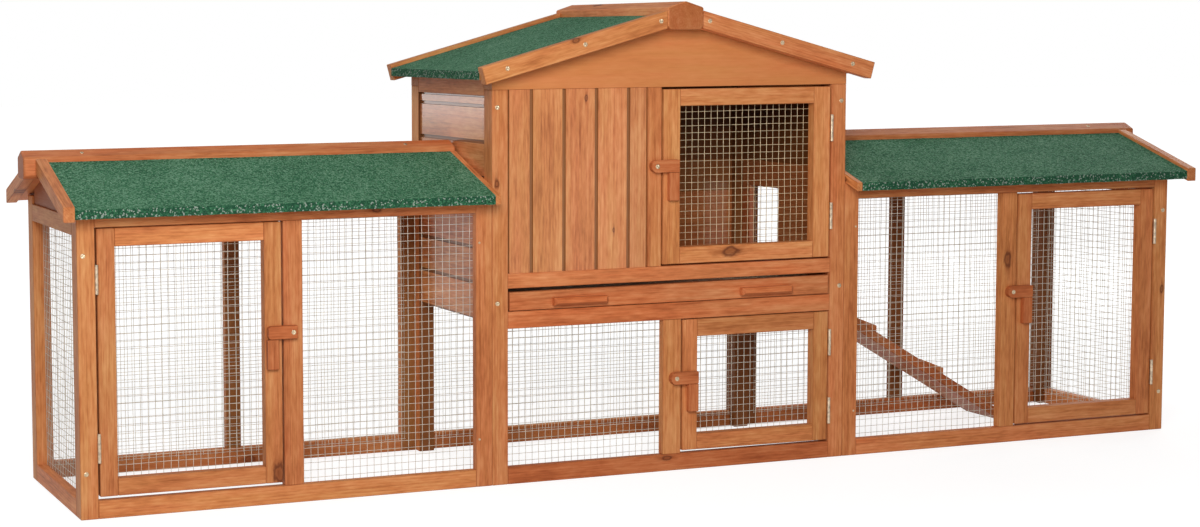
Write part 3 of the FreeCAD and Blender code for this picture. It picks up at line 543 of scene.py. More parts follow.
def zinc_plate(name, colour=None, wear=0.5):
    """Zinc plate, a little clouded and unevenly dull."""
    look = bpy.context.scene.hutch_hardware
    bright = tuple(colour or look.screw)
    material, make, surface = new_finish(name)
    place = make.place()
    cloud = make.noise(place, (160, 160, 160), 3)
    scuff = make.noise(place, (900, 900, 140), 2)
    worn = make.math("MULTIPLY_ADD", scuff, 0.4, make.math("MULTIPLY", cloud, 0.6))
    dull = [wear * channel for channel in bright]
    metal = make.ramp(worn, (0.3, dull), (0.62, bright))
    surface.inputs["Metallic"].default_value = 1
    clothe(make, surface, metal, make.math("MULTIPLY_ADD", cloud, 0.3, 0.2), scuff, 0.2, 0.1 * MM)
    return material


def dull_hinge(name):
    """The brownish plate of the hinges."""
    return zinc_plate(name, bpy.context.scene.hutch_hardware.hinge, wear=0.35)


def galvanized_wire(name, colour=None):
    """Galvanized wire with a faint cream cast, lumpy with zinc."""
    bright = tuple(colour or bpy.context.scene.hutch_wire.colour)
    material, make, surface = new_finish(name)
    place = make.place()
    cloud = make.noise(place, (70, 70, 70), 2)
    lumps = make.noise(place, (700, 700, 700), 2)
    dull = [0.7 * channel for channel in bright]
    metal = make.ramp(cloud, (0.3, dull), (0.7, bright))
    surface.inputs["Metallic"].default_value = 0.3
    clothe(make, surface, metal, make.math("MULTIPLY_ADD", lumps, 0.3, 0.3), lumps, 0.3, 0.2 * MM)
    return material


def stained_wire(name):
    """The same wire, tinted by the stain of its door."""
    return galvanized_wire(name, bpy.context.scene.hutch_wire.stained)


def spangled_sheet(name):
    """Galvanized sheet with the frosty spangle of its zinc crystals."""
    look = bpy.context.scene.hutch_hardware
    material, make, surface = new_finish(name)
    place = make.place()
    strayed = make.vector("MULTIPLY_ADD", make.noise(place, (90, 90, 90), output=1), (0.006,) * 3, place)
    crystals = make.add("ShaderNodeTexVoronoi", {"Vector": strayed, "Scale": 95})
    crystal = make.add("ShaderNodeSeparateXYZ", {0: crystals.outputs["Color"]})
    dull = [0.66 * channel for channel in look.zinc]
    metal = make.ramp(crystal.outputs[0], (0, dull), (1, [0.98 * channel for channel in look.zinc]))
    surface.inputs["Metallic"].default_value = 1
    rough = make.math("MULTIPLY_ADD", crystal.outputs[1], 0.25, 0.3)
    clothe(make, surface, metal, rough, crystal.outputs[2], 0.15, 0.1 * MM)
    return material


FINISH_MAKERS = (stained_fir, stained_boards, smooth_panels, green_felt, zinc_plate, dull_hinge,
                 galvanized_wire, stained_wire, spangled_sheet)
FINISHES = {maker.__name__: maker for maker in FINISH_MAKERS}


def finish(name):
    """One of the hutch's finishes, made the first time that a piece asks for it."""
    return bpy.data.materials.get(name) or FINISHES[name](name)


def placed(name, data):
    """A new object in the scene."""
    made = bpy.data.objects.new(name, data)
    bpy.context.scene.collection.objects.link(made)
    return made


def stand_for(node, mesh, finish_name, *more_nodes):
    """Puts a finished mesh in the scene in place of a node, and of more nodes of the same body."""
    piece = placed(f"{node}_piece", mesh)
    mesh.name = piece.name
    mesh.materials.clear()
    mesh.materials.append(finish(finish_name))
    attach(piece, BODY_OF[node])
    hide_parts(node, *more_nodes)
    return piece


def solids(node):
    """Each closed solid of a node, as a list of triangles of points."""
    mesh = NODES[node].data
    mesh.calc_loop_triangles()
    found = []
    triangles = []
    open_edges = set()
    for face in mesh.loop_triangles:
        corners = [tuple(round(value, 6) for value in mesh.vertices[index].co) for index in face.vertices]
        triangles.append(corners)
        for edge in zip(corners, corners[1:] + corners[:1]):
            if edge[::-1] in open_edges:
                open_edges.remove(edge[::-1])
            else:
                open_edges.add(edge)
        if not open_edges:
            found.append(triangles)
            triangles = []
    if triangles:
        raise ValueError(f"{node} isn't made of closed solids")
    return found


def solid_box(triangles):
    """The lowest and highest corner of a solid."""
    values = list(zip(*(corner for triangle in triangles for corner in triangle)))
    return Vector([min(axis) for axis in values]), Vector([max(axis) for axis in values])


def solid_mesh(triangles):
    """A solid as an editable mesh, with one face for each of its flat sides."""
    shape = bmesh.new()
    corner_of = {}
    for triangle in triangles:
        for corner in triangle:
            if corner not in corner_of:
                corner_of[corner] = shape.verts.new(corner)
        shape.faces.new([corner_of[corner] for corner in triangle])
    shape.normal_update()
    bmesh.ops.dissolve_limit(shape, angle_limit=math.radians(1), verts=shape.verts[:], edges=shape.edges[:])
    shape.normal_update()
    return shape


def gather(shape, points, faces):
    """Adds a shape's points and faces to those of a mesh in the making."""
    first = len(points)
    for index, vertex in enumerate(shape.verts):
        vertex.index = index
        points.append(vertex.co.copy())
    faces += [[first + vertex.index for vertex in face.verts] for face in shape.faces]


def plain_mesh(name, shape):
    """Makes an editable shape a mesh and lets go of it."""
    mesh = bpy.data.meshes.new(name)
    shape.to_mesh(mesh)
    shape.free()
    return mesh


def note_vectors(mesh, name, values):
    """Lets a mesh give a vector for each of its points, under a name."""
    mesh.attributes.new(name, "FLOAT_VECTOR", "POINT").data.foreach_set("vector", values)


def note_numbers(mesh, name, domain, values):
    """Lets a mesh give a number for each of its points or faces, under a name."""
    mesh.attributes.new(name, "FLOAT", domain).data.foreach_set("value", values)


def ease(shape, width, edges=None, segments=2):
    """Rounds the given edges of a shape, or all its sharp ones; one segment makes a chamfer."""
    if edges is None:
        sharp = math.radians(20)
        edges = [edge for edge in shape.edges if edge.is_manifold and edge.calc_face_angle(0) > sharp]
    bmesh.ops.bevel(shape, geom=edges, offset=width, offset_type="OFFSET", segments=segments, profile=0.5,
                    affect="EDGES", clamp_overlap=True)
    shape.normal_update()


def stick_axes(shape):
    """The way the grain runs, the way across it, and the way through the thickness of a stick or board."""
    longest = max(shape.edges, key=lambda edge: edge.calc_length())
    along = (longest.verts[1].co - longest.verts[0].co).normalized()
    if along.dot(Vector((1, 1, 1))) < 0:
        along.negate()
    broad = max(shape.faces, key=lambda face: face.calc_area()).normal
    through = (broad - along * broad.dot(along)).normalized()
    return along, through.cross(along), through


class Lumber:
    """Sticks gathered into one mesh, each with a grain, a tone and perhaps a knot of its own."""

    def __init__(self, node):
        self.draw = random.Random(f"{node} {bpy.context.scene.hutch_wood.seed}")
        self.clear = node in FRONT_KNOTS
        self.front_knots = FRONT_KNOTS.get(node, ())
        self.tones = STICK_TONES.get(node, ())
        self.shaded = node in BACK_NODES
        self.rail_painted_shade = HOUSE_RAIL_PAINTED_SHADE if node == "house_back_frame" else BACK_RAIL_PAINTED_SHADE
        self.posts = node == "house_corner_posts"
        self.grooved = node in SIDING_NODES
        self.end_soak = RIDGE_END_SOAK if node.endswith("ridge") else END_SOAK
        self.points = []
        self.faces = []
        self.grain = []
        self.tone = []
        self.knot = []
        self.soak = []

    def box(self, shape):
        """The low and high corner of a stick, a little outside it."""
        low = [min(vertex.co[axis] for vertex in shape.verts) - MM for axis in range(3)]
        high = [max(vertex.co[axis] for vertex in shape.verts) + MM for axis in range(3)]
        return low, high

    def holds(self, shape, place):
        """Whether a place in millimetres lies in a stick."""
        low, high = self.box(shape)
        return all(low[axis] < place[axis] * MM < high[axis] for axis in range(3))

    def choose_knot(self, shape, axes):
        """The middle, radius and axis of a stick's knot, or None where it is clear."""
        for *place, radius in self.front_knots:
            if self.holds(shape, place):
                return Vector(place) * MM, radius * MM, FORWARD
        low, high = self.box(shape)
        chance = self.draw.random()
        shares = [self.draw.uniform(0.1, 0.9) for _ in range(3)]
        radius = self.draw.uniform(*KNOT_RADIUS) * MM
        if chance > KNOT_CHANCE or self.clear:
            return None
        middle = Vector([low[axis] + shares[axis] * (high[axis] - low[axis]) for axis in range(3)])
        return middle, radius, axes[2]

    def back_painted_shade(self, normal, middle, along):
        """How much painted shade a shaded face of a back frame gets, or None for a face that is lit."""
        front = normal.dot(FORWARD) > FACING
        if front and abs(along.x) > FACING:
            return self.rail_painted_shade
        if abs(along.z) > FACING and middle.x > 0 and (front or normal.x < -FACING):
            return RIGHT_POST_PAINTED_SHADE
        return BACK_POST_PAINTED_SHADE if front else None

    def face_stain_and_shade(self, face, axes):
        """How much darker a face is painted: painted shade on back and inner faces, stain in end grain, both
        in grooves and edges.
        """
        normal = face.normal
        middle = face.calc_center_median()
        # Painted shade on the back frames' faces that look forward or to the left.
        if self.shaded and middle.x > SHADED_FROM:
            shade = self.back_painted_shade(normal, middle, axes[0])
            if shade is not None:
                return shade
        if abs(normal.dot(axes[0])) > FACING:
            return self.end_soak
        # Painted shade on the house's inner faces, darker higher up.
        inner = normal.dot(middle - Vector((0, 0, middle.z))) < 0
        if inner and (self.grooved or self.posts and middle.y > 0):
            least = INNER_POST_PAINTED_SHADE if self.posts else INNER_BOARD_PAINTED_SHADE
            dimness = max(0, min(1, (middle.z - DIM_FROM) / (DIM_TO - DIM_FROM)))
            return least + (DIM_PAINTED_SHADE - least) * dimness
        # Grooves hold stain and also get painted shade.
        narrow = face.calc_area() < NARROW_FACE * face.calc_perimeter()
        if self.grooved and (abs(normal.dot(axes[2])) < BROAD_FACE or narrow):
            return GROOVE_STAIN_AND_SHADE
        # Eased edges hold stain, less on those that face up, with painted shade on those that face down.
        if max(abs(normal.dot(axis)) for axis in axes) < SQUARE_FACE:
            return EASED_STAIN_AND_SHADE - EASED_TILT_PAINTED_SHADE * normal.z
        return 0.0

    def add(self, shape):
        """Takes in one closed stick and lets go of its shape."""
        axes = stick_axes(shape)
        centre = sum((vertex.co for vertex in shape.verts), Vector()) / len(shape.verts)
        pith_away = self.draw.uniform(*PITH_DISTANCE) * MM
        pith_turn = self.draw.uniform(0, math.tau)
        along = self.draw.uniform(0, GRAIN_LENGTH)
        start = (along, pith_away * math.cos(pith_turn), pith_away * math.sin(pith_turn))
        tone = [self.draw.random() for _ in range(3)]
        low, high = self.box(shape)
        if all(high[axis] - low[axis] < SMALL_PIECE for axis in range(3)):
            tone[:2] = DEEP_TONE
        for *place, pale, yellow in self.tones:
            if self.holds(shape, place):
                tone[:2] = pale, yellow
        knot = self.choose_knot(shape, axes)
        gather(shape, self.points, self.faces)
        for vertex in shape.verts:
            self.grain += [(vertex.co - centre).dot(axis) + value for axis, value in zip(axes, start)]
            self.tone += tone
            if knot is None:
                self.knot += FAR_FROM_KNOT
            else:
                middle, radius, axis = knot
                offset = (vertex.co - middle) / radius
                self.knot += [offset.dot(axes[0]), offset.dot(axis.cross(axes[0])), 0]
        self.soak += [self.face_stain_and_shade(face, axes) for face in shape.faces]
        shape.free()

    def mesh(self):
        """The gathered sticks as a mesh that carries what the wood finishes read."""
        mesh = bpy.data.meshes.new("lumber")
        mesh.from_pydata(self.points, [], self.faces)
        for name, values in (("grain", self.grain), ("tone", self.tone), ("knot", self.knot)):
            note_vectors(mesh, name, values)
        note_numbers(mesh, "soak", "FACE", self.soak)
        mesh.update()
        return mesh


def sawn(node, shape_stick, finish_name="stained_fir"):
    """Replaces a node's solids with shaped sticks of wood."""
    lumber = Lumber(node)
    for triangles in solids(node):
        shape = solid_mesh(triangles)
        shape_stick(shape)
        lumber.add(shape)
    return stand_for(node, lumber.mesh(), finish_name)


def eased_stick(shape):
    """Eases every edge of a stick."""
    ease(shape, bpy.context.scene.hutch_wood.rounding)


def part_faces(shape, way, places):
    """Parts the faces of a shape at places along a way."""
    for place in places:
        geometry = shape.verts[:] + shape.edges[:] + shape.faces[:]
        bmesh.ops.bisect_plane(shape, geom=geometry, dist=1e-6, plane_co=way * place, plane_no=way)


def corner_post(shape):
    """Eases a post, and parts its faces at the heights over which its painted shade inside the house deepens.
    """
    eased_stick(shape)
    heights = [DIM_FROM + (DIM_TO - DIM_FROM) * step / DIM_STEPS for step in range(DIM_STEPS + 1)]
    part_faces(shape, UP, heights)
    shape.normal_update()


def shift_edge(shape, height, lift):
    """Moves the corners of a stick that lie at one height up or down."""
    for vertex in shape.verts:
        if abs(vertex.co.z - height) < MM:
            vertex.co.z += lift


def left_door_stick(shape):
    """Eases a stick of the left run's door, whose foot stands clear of the rail below."""
    shift_edge(shape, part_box("left_run_door_frame")[0].z, LEFT_DOOR_LIFT)
    eased_stick(shape)


def lower_door_stick(shape):
    """Eases a stick of the lower door, whose head fits closely and whose foot rises to the left."""
    low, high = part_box("house_lower_door_frame")
    shift_edge(shape, high.z, LOWER_DOOR_RISE)
    for vertex in shape.verts:
        if vertex.co.z < low.z + MM:
            vertex.co.z += LOWER_DOOR_LIFT * (high.x - vertex.co.x) / (high.x - low.x)
    eased_stick(shape)


def hung_front(shape):
    """Eases the tray's front, whose top edge hangs lower at the left."""
    low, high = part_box("tray_front")
    for vertex in shape.verts:
        if vertex.co.z > high.z - MM:
            share = (vertex.co.x - low.x) / (high.x - low.x)
            vertex.co.z -= TRAY_DROP[0] + (TRAY_DROP[1] - TRAY_DROP[0]) * share
    eased_stick(shape)


def rounded_ridge(shape):
    """Rounds the edges of a ridge board."""
    ease(shape, RIDGE_ROUNDING, segments=3)


def thin_panel(shape):
    """Barely breaks the edges of a thin panel."""
    ease(shape, PANEL_CHAMFER, segments=1)


def grooved_board(shape):
    """Steps both long edges of a board's outer face, so that it shares a groove with its neighbour."""
    groove = bpy.context.scene.hutch_wood.groove
    along, across, through = stick_axes(shape)
    corners = [vertex.co.copy() for vertex in shape.verts]
    if len(corners) > 8:
        thin_panel(shape)
        return
    outward = through if sum(corner.dot(through) for corner in corners) > 0 else -through
    spans = [[corner.dot(axis) for corner in corners] for axis in (along, across, outward)]
    (start, stop), (low, high), (inner, outer) = ((min(span), max(span)) for span in spans)
    step = outer - GROOVE_DEPTH
    lip = groove + GROOVE_SLOPE
    section = [(low, inner), (high, inner), (high, step), (high - groove, step), (high - lip, outer),
               (low + lip, outer), (low + groove, step), (low, step)]
    shape.clear()
    ends = []
    for place in (start, stop):
        ends.append([shape.verts.new(place * along + a * across + t * outward) for a, t in section])
        shape.faces.new(ends[-1])
    near, far = ends
    for index in range(len(section)):
        after = (index + 1) % len(section)
        shape.faces.new((near[index], near[after], far[after], far[index]))
    bmesh.ops.recalc_face_normals(shape, faces=shape.faces[:])
    shape.normal_update()


def bevelled_pull(shape):
    """Chamfers the face of a pull all round."""
    face = min(shape.faces, key=lambda face: face.calc_center_median().y)
    ease(shape, PULL_CHAMFER, list(face.edges), segments=1)
    ease(shape, PULL_ROUNDING)


def soft_cleat(shape):
    """Rounds a cleat well, as feet would wear it."""
    ease(shape, CLEAT_ROUNDING, segments=3)


def turn_button(door):
    """A turn button with a round or square pivot end, its edges eased."""
    node = f"{door}_latch"
    low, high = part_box(node)
    round_end = (high.z - low.z) / 2 * 0.999
    near = BUTTON_SQUARE_END if door == "left_run" else round_end
    far = BUTTON_TIP
    corners = ((low.x, low.z, near, 2), (high.x, low.z, far, 3),
               (high.x, high.z, far, 0), (low.x, high.z, near, 1))
    outline = []
    for x, z, radius, quarter in corners:
        middle_x = x + radius if x == low.x else x - radius
        middle_z = z + radius if z == low.z else z - radius
        steps = 3 if radius == BUTTON_TIP else 8
        for step in range(steps + 1):
            turn = (quarter + step / steps) * math.pi / 2
            outline.append((middle_x + radius * math.cos(turn), middle_z + radius * math.sin(turn)))
    shape = bmesh.new()
    front = shape.faces.new([shape.verts.new((x, low.y, z)) for x, z in outline])
    for item in bmesh.ops.extrude_face_region(shape, geom=[front])["geom"]:
        if isinstance(item, bmesh.types.BMVert):
            item.co.y = high.y
    bmesh.ops.recalc_face_normals(shape, faces=shape.faces[:])
    rims = [edge for edge in shape.edges if all(vertex.co.y < low.y + MM for vertex in edge.verts)]
    ease(shape, BUTTON_ROUNDING, rims)
    lumber = Lumber(node)
    lumber.add(shape)
    return stand_for(node, lumber.mesh(), "stained_fir")


def eave_edges(shape, length_axis):
    """The upper edges of a felt's turned-down eave, which run along its roof."""
    found = []
    for edge in shape.edges:
        steep, flat = sorted(abs(face.normal.z) for face in edge.link_faces)
        way = (edge.verts[1].co - edge.verts[0].co).normalized()
        turned_down = steep < FELT_STEEP and flat > FACING and edge.calc_face_angle_signed(0) > 0
        if turned_down and abs(way[length_axis]) > 0.99:
            found.append(edge)
    top = max(max(vertex.co.z for vertex in edge.verts) for edge in found)
    return [edge for edge in found if edge.verts[0].co.z > top - MM]


def felt_sheet(triangles, length_axis):
    """One sheet of felt, with a soft nose at the eave, a slightly uneven lie and a ragged drip edge."""
    wave = bpy.context.scene.hutch_felt.wave
    shape = solid_mesh(triangles)
    ease(shape, FELT_NOSE, eave_edges(shape, length_axis), segments=3)
    low, high = solid_box(triangles)
    along = Vector([float(axis == length_axis) for axis in range(3)])
    down = Vector([float(axis == 1 - length_axis) for axis in range(3)])
    for way, spacing in ((along, FELT_STEP_ALONG), (down, FELT_STEP_DOWN)):
        start, stop = low.dot(way), high.dot(way)
        cuts = int((stop - start) / spacing)
        part_faces(shape, way, [start + (stop - start) * cut / cuts for cut in range(1, cuts)])
    for vertex in shape.verts:
        if vertex.co.z < low.z + DRIP_HEIGHT:
            vertex.co.z += DRIP_RAG * (1 + noise.noise(vertex.co * DRIP_WAVES))
        elif low.dot(along) + MM < vertex.co.dot(along) < high.dot(along) - MM:
            vertex.co.z += wave * (noise.noise(vertex.co * LIE_WAVES) - 0.5)
    shape.normal_update()
    return shape


def felt_sheets(roof):
    """The felt of one roof, which marks how steep each face is."""
    node = f"{roof}_roof_felt"
    points = []
    faces = []
    edge_of = []
    for triangles in solids(node):
        shape = felt_sheet(triangles, 1 if roof == "house" else 0)
        gather(shape, points, faces)
        tilts = [(FELT_FLAT - abs(face.normal.z)) / (FELT_FLAT - FELT_STEEP) for face in shape.faces]
        edge_of += [min(1, max(0, tilt)) for tilt in tilts]
        shape.free()
    mesh = bpy.data.meshes.new(node)
    mesh.from_pydata(points, [], faces)
    note_numbers(mesh, "edge", "FACE", edge_of)
    return stand_for(node, mesh, "green_felt")


def new_tree(name, inputs):
    """An empty tree of geometry nodes with named inputs of the given kinds, its maker and its two ends."""
    tree = bpy.data.node_groups.new(name, "GeometryNodeTree")
    tree.interface.new_socket("Geometry", in_out="INPUT", socket_type="NodeSocketGeometry")
    for input_name, kind in inputs.items():
        tree.interface.new_socket(input_name, in_out="INPUT", socket_type=kind)
    tree.interface.new_socket("Geometry", in_out="OUTPUT", socket_type="NodeSocketGeometry")
    make = NodeMaker(tree)
    return tree, make, make.add("NodeGroupInput").outputs, make.add("NodeGroupOutput").inputs


def close_tree(make, geometry, finish_name, tree_end):
    """Ends a tree with real geometry that carries a finish."""
    smooth = make.add("GeometryNodeSetShadeSmooth", {"Geometry": geometry})
    real = make.add("GeometryNodeRealizeInstances", {"Geometry": smooth.outputs[0]})
    coated = make.add("GeometryNodeSetMaterial", {
        "Geometry": real.outputs[0], "Material": finish(finish_name)})
    make.tree.links.new(coated.outputs[0], tree_end["Geometry"])


def grown(tree, source, values):
    """The plain mesh that a tree grows from a mesh with the given inputs."""
    holder = bpy.data.objects.new(tree.name, source)
    growth = holder.modifiers.new(tree.name, "NODES")
    growth.node_group = tree
    for item in tree.interface.items_tree:
        if item.in_out == "INPUT" and item.name in values:
            growth[item.identifier] = values[item.name]
    bpy.context.scene.collection.objects.link(holder)
    bpy.context.view_layer.update()
    result = holder.evaluated_get(bpy.context.evaluated_depsgraph_get())
    mesh = bpy.data.meshes.new_from_object(result)
    holder.modifiers.remove(growth)
    bpy.data.objects.remove(holder)
    return mesh


def welded_net_tree():
    """Uprights and levels of wire that stray a little, in a sheet that stands on the origin."""
    sizes = {name: "NodeSocketFloat" for name in ("Width", "Height", "Pitch", "Gauge", "Wobble", "Seed")}
    tree, make, given, tree_end = new_tree("welded_net", sizes)
    width, height, pitch, gauge = (given[name] for name in ("Width", "Height", "Pitch", "Gauge"))
    section = make.add("GeometryNodeCurvePrimitiveCircle", {
        "Resolution": 6, "Radius": make.math("MULTIPLY", gauge, 0.5)})

    def point(x=0.0, y=0.0, z=0.0):
        """A vector of numbers or sockets."""
        return make.add("ShaderNodeCombineXYZ", {0: x, 1: y, 2: z}).outputs[0]

    def wires(span, length, layer, upright):
        """Wires a pitch apart over a span, each of a length, at a layer of the net."""
        gaps = make.math("FLOOR", make.math("DIVIDE", span, pitch))
        margin = make.math("MULTIPLY", make.math("SUBTRACT", span, make.math("MULTIPLY", gaps, pitch)), 0.5)
        depth = make.math("MULTIPLY", gauge, layer)
        first = point(x=margin, y=depth) if upright else point(y=depth, z=margin)
        step = point(x=pitch) if upright else point(z=pitch)
        stop = point(z=length) if upright else point(x=length)
        row = make.add("GeometryNodeMeshLine", {
            "Count": make.math("ADD", gaps, 1), "Start Location": first, "Offset": step})
        strand = make.add("GeometryNodeCurvePrimitiveLine", {"End": stop})
        bends = make.math("ADD", make.math("ROUND", make.math("DIVIDE", length, pitch)), 1)
        strand = make.add("GeometryNodeResampleCurve", {"Curve": strand.outputs[0], "Count": bends})
        copies = make.add("GeometryNodeInstanceOnPoints", {
            "Points": row.outputs[0], "Instance": strand.outputs[0]})
        return make.add("GeometryNodeRealizeInstances", {"Geometry": copies.outputs[0]}).outputs[0]

    both = make.add("GeometryNodeJoinGeometry")
    for strands in (wires(width, height, UPRIGHT_LAYER, True), wires(height, width, LEVEL_LAYER, False)):
        make.tree.links.new(strands, both.inputs[0])
    place = make.vector("ADD", make.add("GeometryNodeInputPosition").outputs[0], point(y=given["Seed"]))
    slow = make.vector("MULTIPLY", make.stray(place, (9, 9, 9), 1), (1.0, 0.25, 1.0))
    stray = make.vector("MULTIPLY_ADD", make.stray(place, (75, 75, 75), 1), (0.35, 0.0, 0.35), slow)
    bent = make.add("GeometryNodeSetPosition", {
        "Geometry": both.outputs[0], "Offset": make.scaled(stray, given["Wobble"])})
    drawn = make.add("GeometryNodeCurveToMesh", {
        "Curve": bent.outputs[0], "Profile Curve": section.outputs[0], "Fill Caps": True})
    close_tree(make, drawn.outputs[0], "galvanized_wire", tree_end)
    return tree


def wire_net(node, tree):
    """Weaves the nets of one node, each on the outer face of its solid."""
    look = bpy.context.scene.hutch_wire
    woven = bmesh.new()
    for number, triangles in enumerate(solids(node)):
        low, high = solid_box(triangles)
        sizes = high - low
        thin = min(range(3), key=lambda axis: sizes[axis])
        inward = Vector([float(axis == thin) for axis in range(3)])
        if (low + high)[thin] > 0:
            inward.negate()
        across = inward.cross(UP)
        corner = Vector([low[axis] if (across + inward)[axis] >= 0 else high[axis] for axis in range(3)])
        place = Matrix((across, inward, UP)).transposed().to_4x4()
        place.translation = corner
        seed = SEED_PER_SETTING * look.seed + SEED_PER_NET * number + SEED_PER_LETTER * len(node)
        mesh = grown(tree, bpy.data.meshes.new("net"), {
            "Width": abs(sizes.dot(across)), "Height": sizes.z, "Pitch": look.pitch, "Gauge": look.gauge,
            "Wobble": look.wobble, "Seed": seed})
        mesh.transform(place)
        woven.from_mesh(mesh)
        bpy.data.meshes.remove(mesh)
    finish_name = "stained_wire" if node == "house_upper_door_mesh" else "galvanized_wire"
    return stand_for(node, plain_mesh(node, woven), finish_name)


def screw_head(radius, height):
    """A low domed head with a cross recess, its axis along Z and its skirt a little below the origin."""
    steps = 12
    shape = bmesh.new()
    rows = []
    for row in range(steps + 1):
        t = 2 * row / steps - 1
        rows.append([])
        for column in range(steps + 1):
            s = 2 * column / steps - 1
            x = s * math.sqrt(1 - t * t / 2)
            y = t * math.sqrt(1 - s * s / 2)
            z = 1 - DOME * (x * x + y * y)
            narrow, wide = sorted((abs(s), abs(t)))
            if narrow < CROSS_HALF_WIDTH and wide < CROSS_REACH:
                z -= CROSS_DEPTH
            rows[-1].append(shape.verts.new((radius * x, radius * y, height * z)))
    for lower, upper in zip(rows, rows[1:]):
        for column in range(steps):
            shape.faces.new((lower[column], lower[column + 1], upper[column + 1], upper[column]))
    rim = [edge for edge in shape.edges if edge.is_boundary]
    skirt = bmesh.ops.extrude_edge_only(shape, edges=rim)
    below = [item for item in skirt["geom"] if isinstance(item, bmesh.types.BMVert)]
    for vertex in below:
        vertex.co.z = -HEAD_SKIRT
    bmesh.ops.contextual_create(shape, geom=[edge for edge in shape.edges if edge.is_boundary])
    bmesh.ops.recalc_face_normals(shape, faces=shape.faces[:])
    return plain_mesh("screw_head", shape)


def screw_heads_tree():
    """A head on every point, turned to face the way the point says and spun at random about its own axis."""
    inputs = {"Head": "NodeSocketObject", "Seed": "NodeSocketInt"}
    tree, make, given, tree_end = new_tree("screw_heads", inputs)
    head = make.add("GeometryNodeObjectInfo", {"Object": given["Head"]})
    facing = make.add("GeometryNodeInputNamedAttribute", {"Name": "facing"}, data_type="FLOAT_VECTOR")
    size = make.add("GeometryNodeInputNamedAttribute", {"Name": "size"}, data_type="FLOAT")
    aimed = make.add("FunctionNodeAlignRotationToVector", {"Vector": facing.outputs[0]}, axis="Z")
    chance = make.add("FunctionNodeRandomValue", {"Seed": given["Seed"]}, data_type="FLOAT")
    turn = make.math("MULTIPLY", chance.outputs["Value"], math.tau)
    spin = make.add("FunctionNodeAxisAngleToRotation", {"Axis": UP, "Angle": turn})
    spun = make.add("FunctionNodeRotateRotation", {0: aimed.outputs[0], 1: spin.outputs[0]},
                    rotation_space="LOCAL")
    heads = make.add("GeometryNodeInstanceOnPoints", {
        "Points": given["Geometry"], "Instance": head.outputs["Geometry"], "Rotation": spun.outputs[0],
        "Scale": size.outputs[0]})
    close_tree(make, heads.outputs[0], "zinc_plate", tree_end)
    return tree


class HUTCH_OT_frames(bpy.types.Operator):
    """Saws the posts and rails of both runs and of the house"""

    bl_idname = "hutch.frames"
    bl_label = "Frames"
    bl_options = {"REGISTER", "UNDO"}

    def execute(self, context):
        for node in FRAME_NODES + ["tray_runners", "ramp_bearer"]:
            sawn(node, corner_post if node == "house_corner_posts" else eased_stick)
        return {"FINISHED"}


class HUTCH_OT_boards(bpy.types.Operator):
    """Lays the grooved boards of the walls and the thin panels of the gables and roofs"""

    bl_idname = "hutch.boards"
    bl_label = "Boards"
    bl_options = {"REGISTER", "UNDO"}

    def execute(self, context):
        for node in SIDING_NODES:
            sawn(node, grooved_board, "stained_boards")
        for node in PANEL_NODES:
            sawn(node, thin_panel, "smooth_panels")
        return {"FINISHED"}


class HUTCH_OT_roofs(bpy.types.Operator):
    """Covers the roofs with felt, ridges and rake boards"""

    bl_idname = "hutch.roofs"
    bl_label = "Roofs"
    bl_options = {"REGISTER", "UNDO"}

    def execute(self, context):
        for roof in ROOFS:
            felt_sheets(roof)
            sawn(f"{roof}_ridge", rounded_ridge)
            sawn(f"{roof}_rakes", eased_stick)
        return {"FINISHED"}


class HUTCH_OT_doors(bpy.types.Operator):
    """Saws the four door frames with their pull blocks, and the turn buttons that hold them shut"""

    bl_idname = "hutch.doors"
    bl_label = "Doors and turn buttons"
    bl_options = {"REGISTER", "UNDO"}

    def execute(self, context):
        fitted = {"left_run": left_door_stick, "house_lower": lower_door_stick}
        for door in DOORS:
            sawn(f"{door}_door_frame", fitted.get(door, eased_stick))
            turn_button(door)
        return {"FINISHED"}


class HUTCH_OT_nets(bpy.types.Operator):
    """Weaves the welded wire nets of the frames and doors"""

    bl_idname = "hutch.nets"
    bl_label = "Wire nets"
    bl_options = {"REGISTER", "UNDO"}

    def execute(self, context):
        tree = welded_net_tree()
        for node in NET_NODES:
            wire_net(node, tree)
        return {"FINISHED"}


class HUTCH_OT_tray(bpy.types.Operator):
    """Makes the tray's wooden front, bevelled pulls and galvanized pan"""

    bl_idname = "hutch.tray"
    bl_label = "Tray"
    bl_options = {"REGISTER", "UNDO"}

    def execute(self, context):
        sawn("tray_front", hung_front)
        sawn("tray_pulls", bevelled_pull)
        shape = solid_mesh(solids("tray_pan")[0])
        ease(shape, PAN_ROUNDING)
        stand_for("tray_pan", plain_mesh("tray_pan", shape), "spangled_sheet")
        return {"FINISHED"}


class HUTCH_OT_ramp(bpy.types.Operator):
    """Saws the ramp and its rounded cleats"""

    bl_idname = "hutch.ramp"
    bl_label = "Ramp"
    bl_options = {"REGISTER", "UNDO"}

    def execute(self, context):
        sawn("ramp_board", eased_stick)
        sawn("ramp_cleats", soft_cleat)
        return {"FINISHED"}


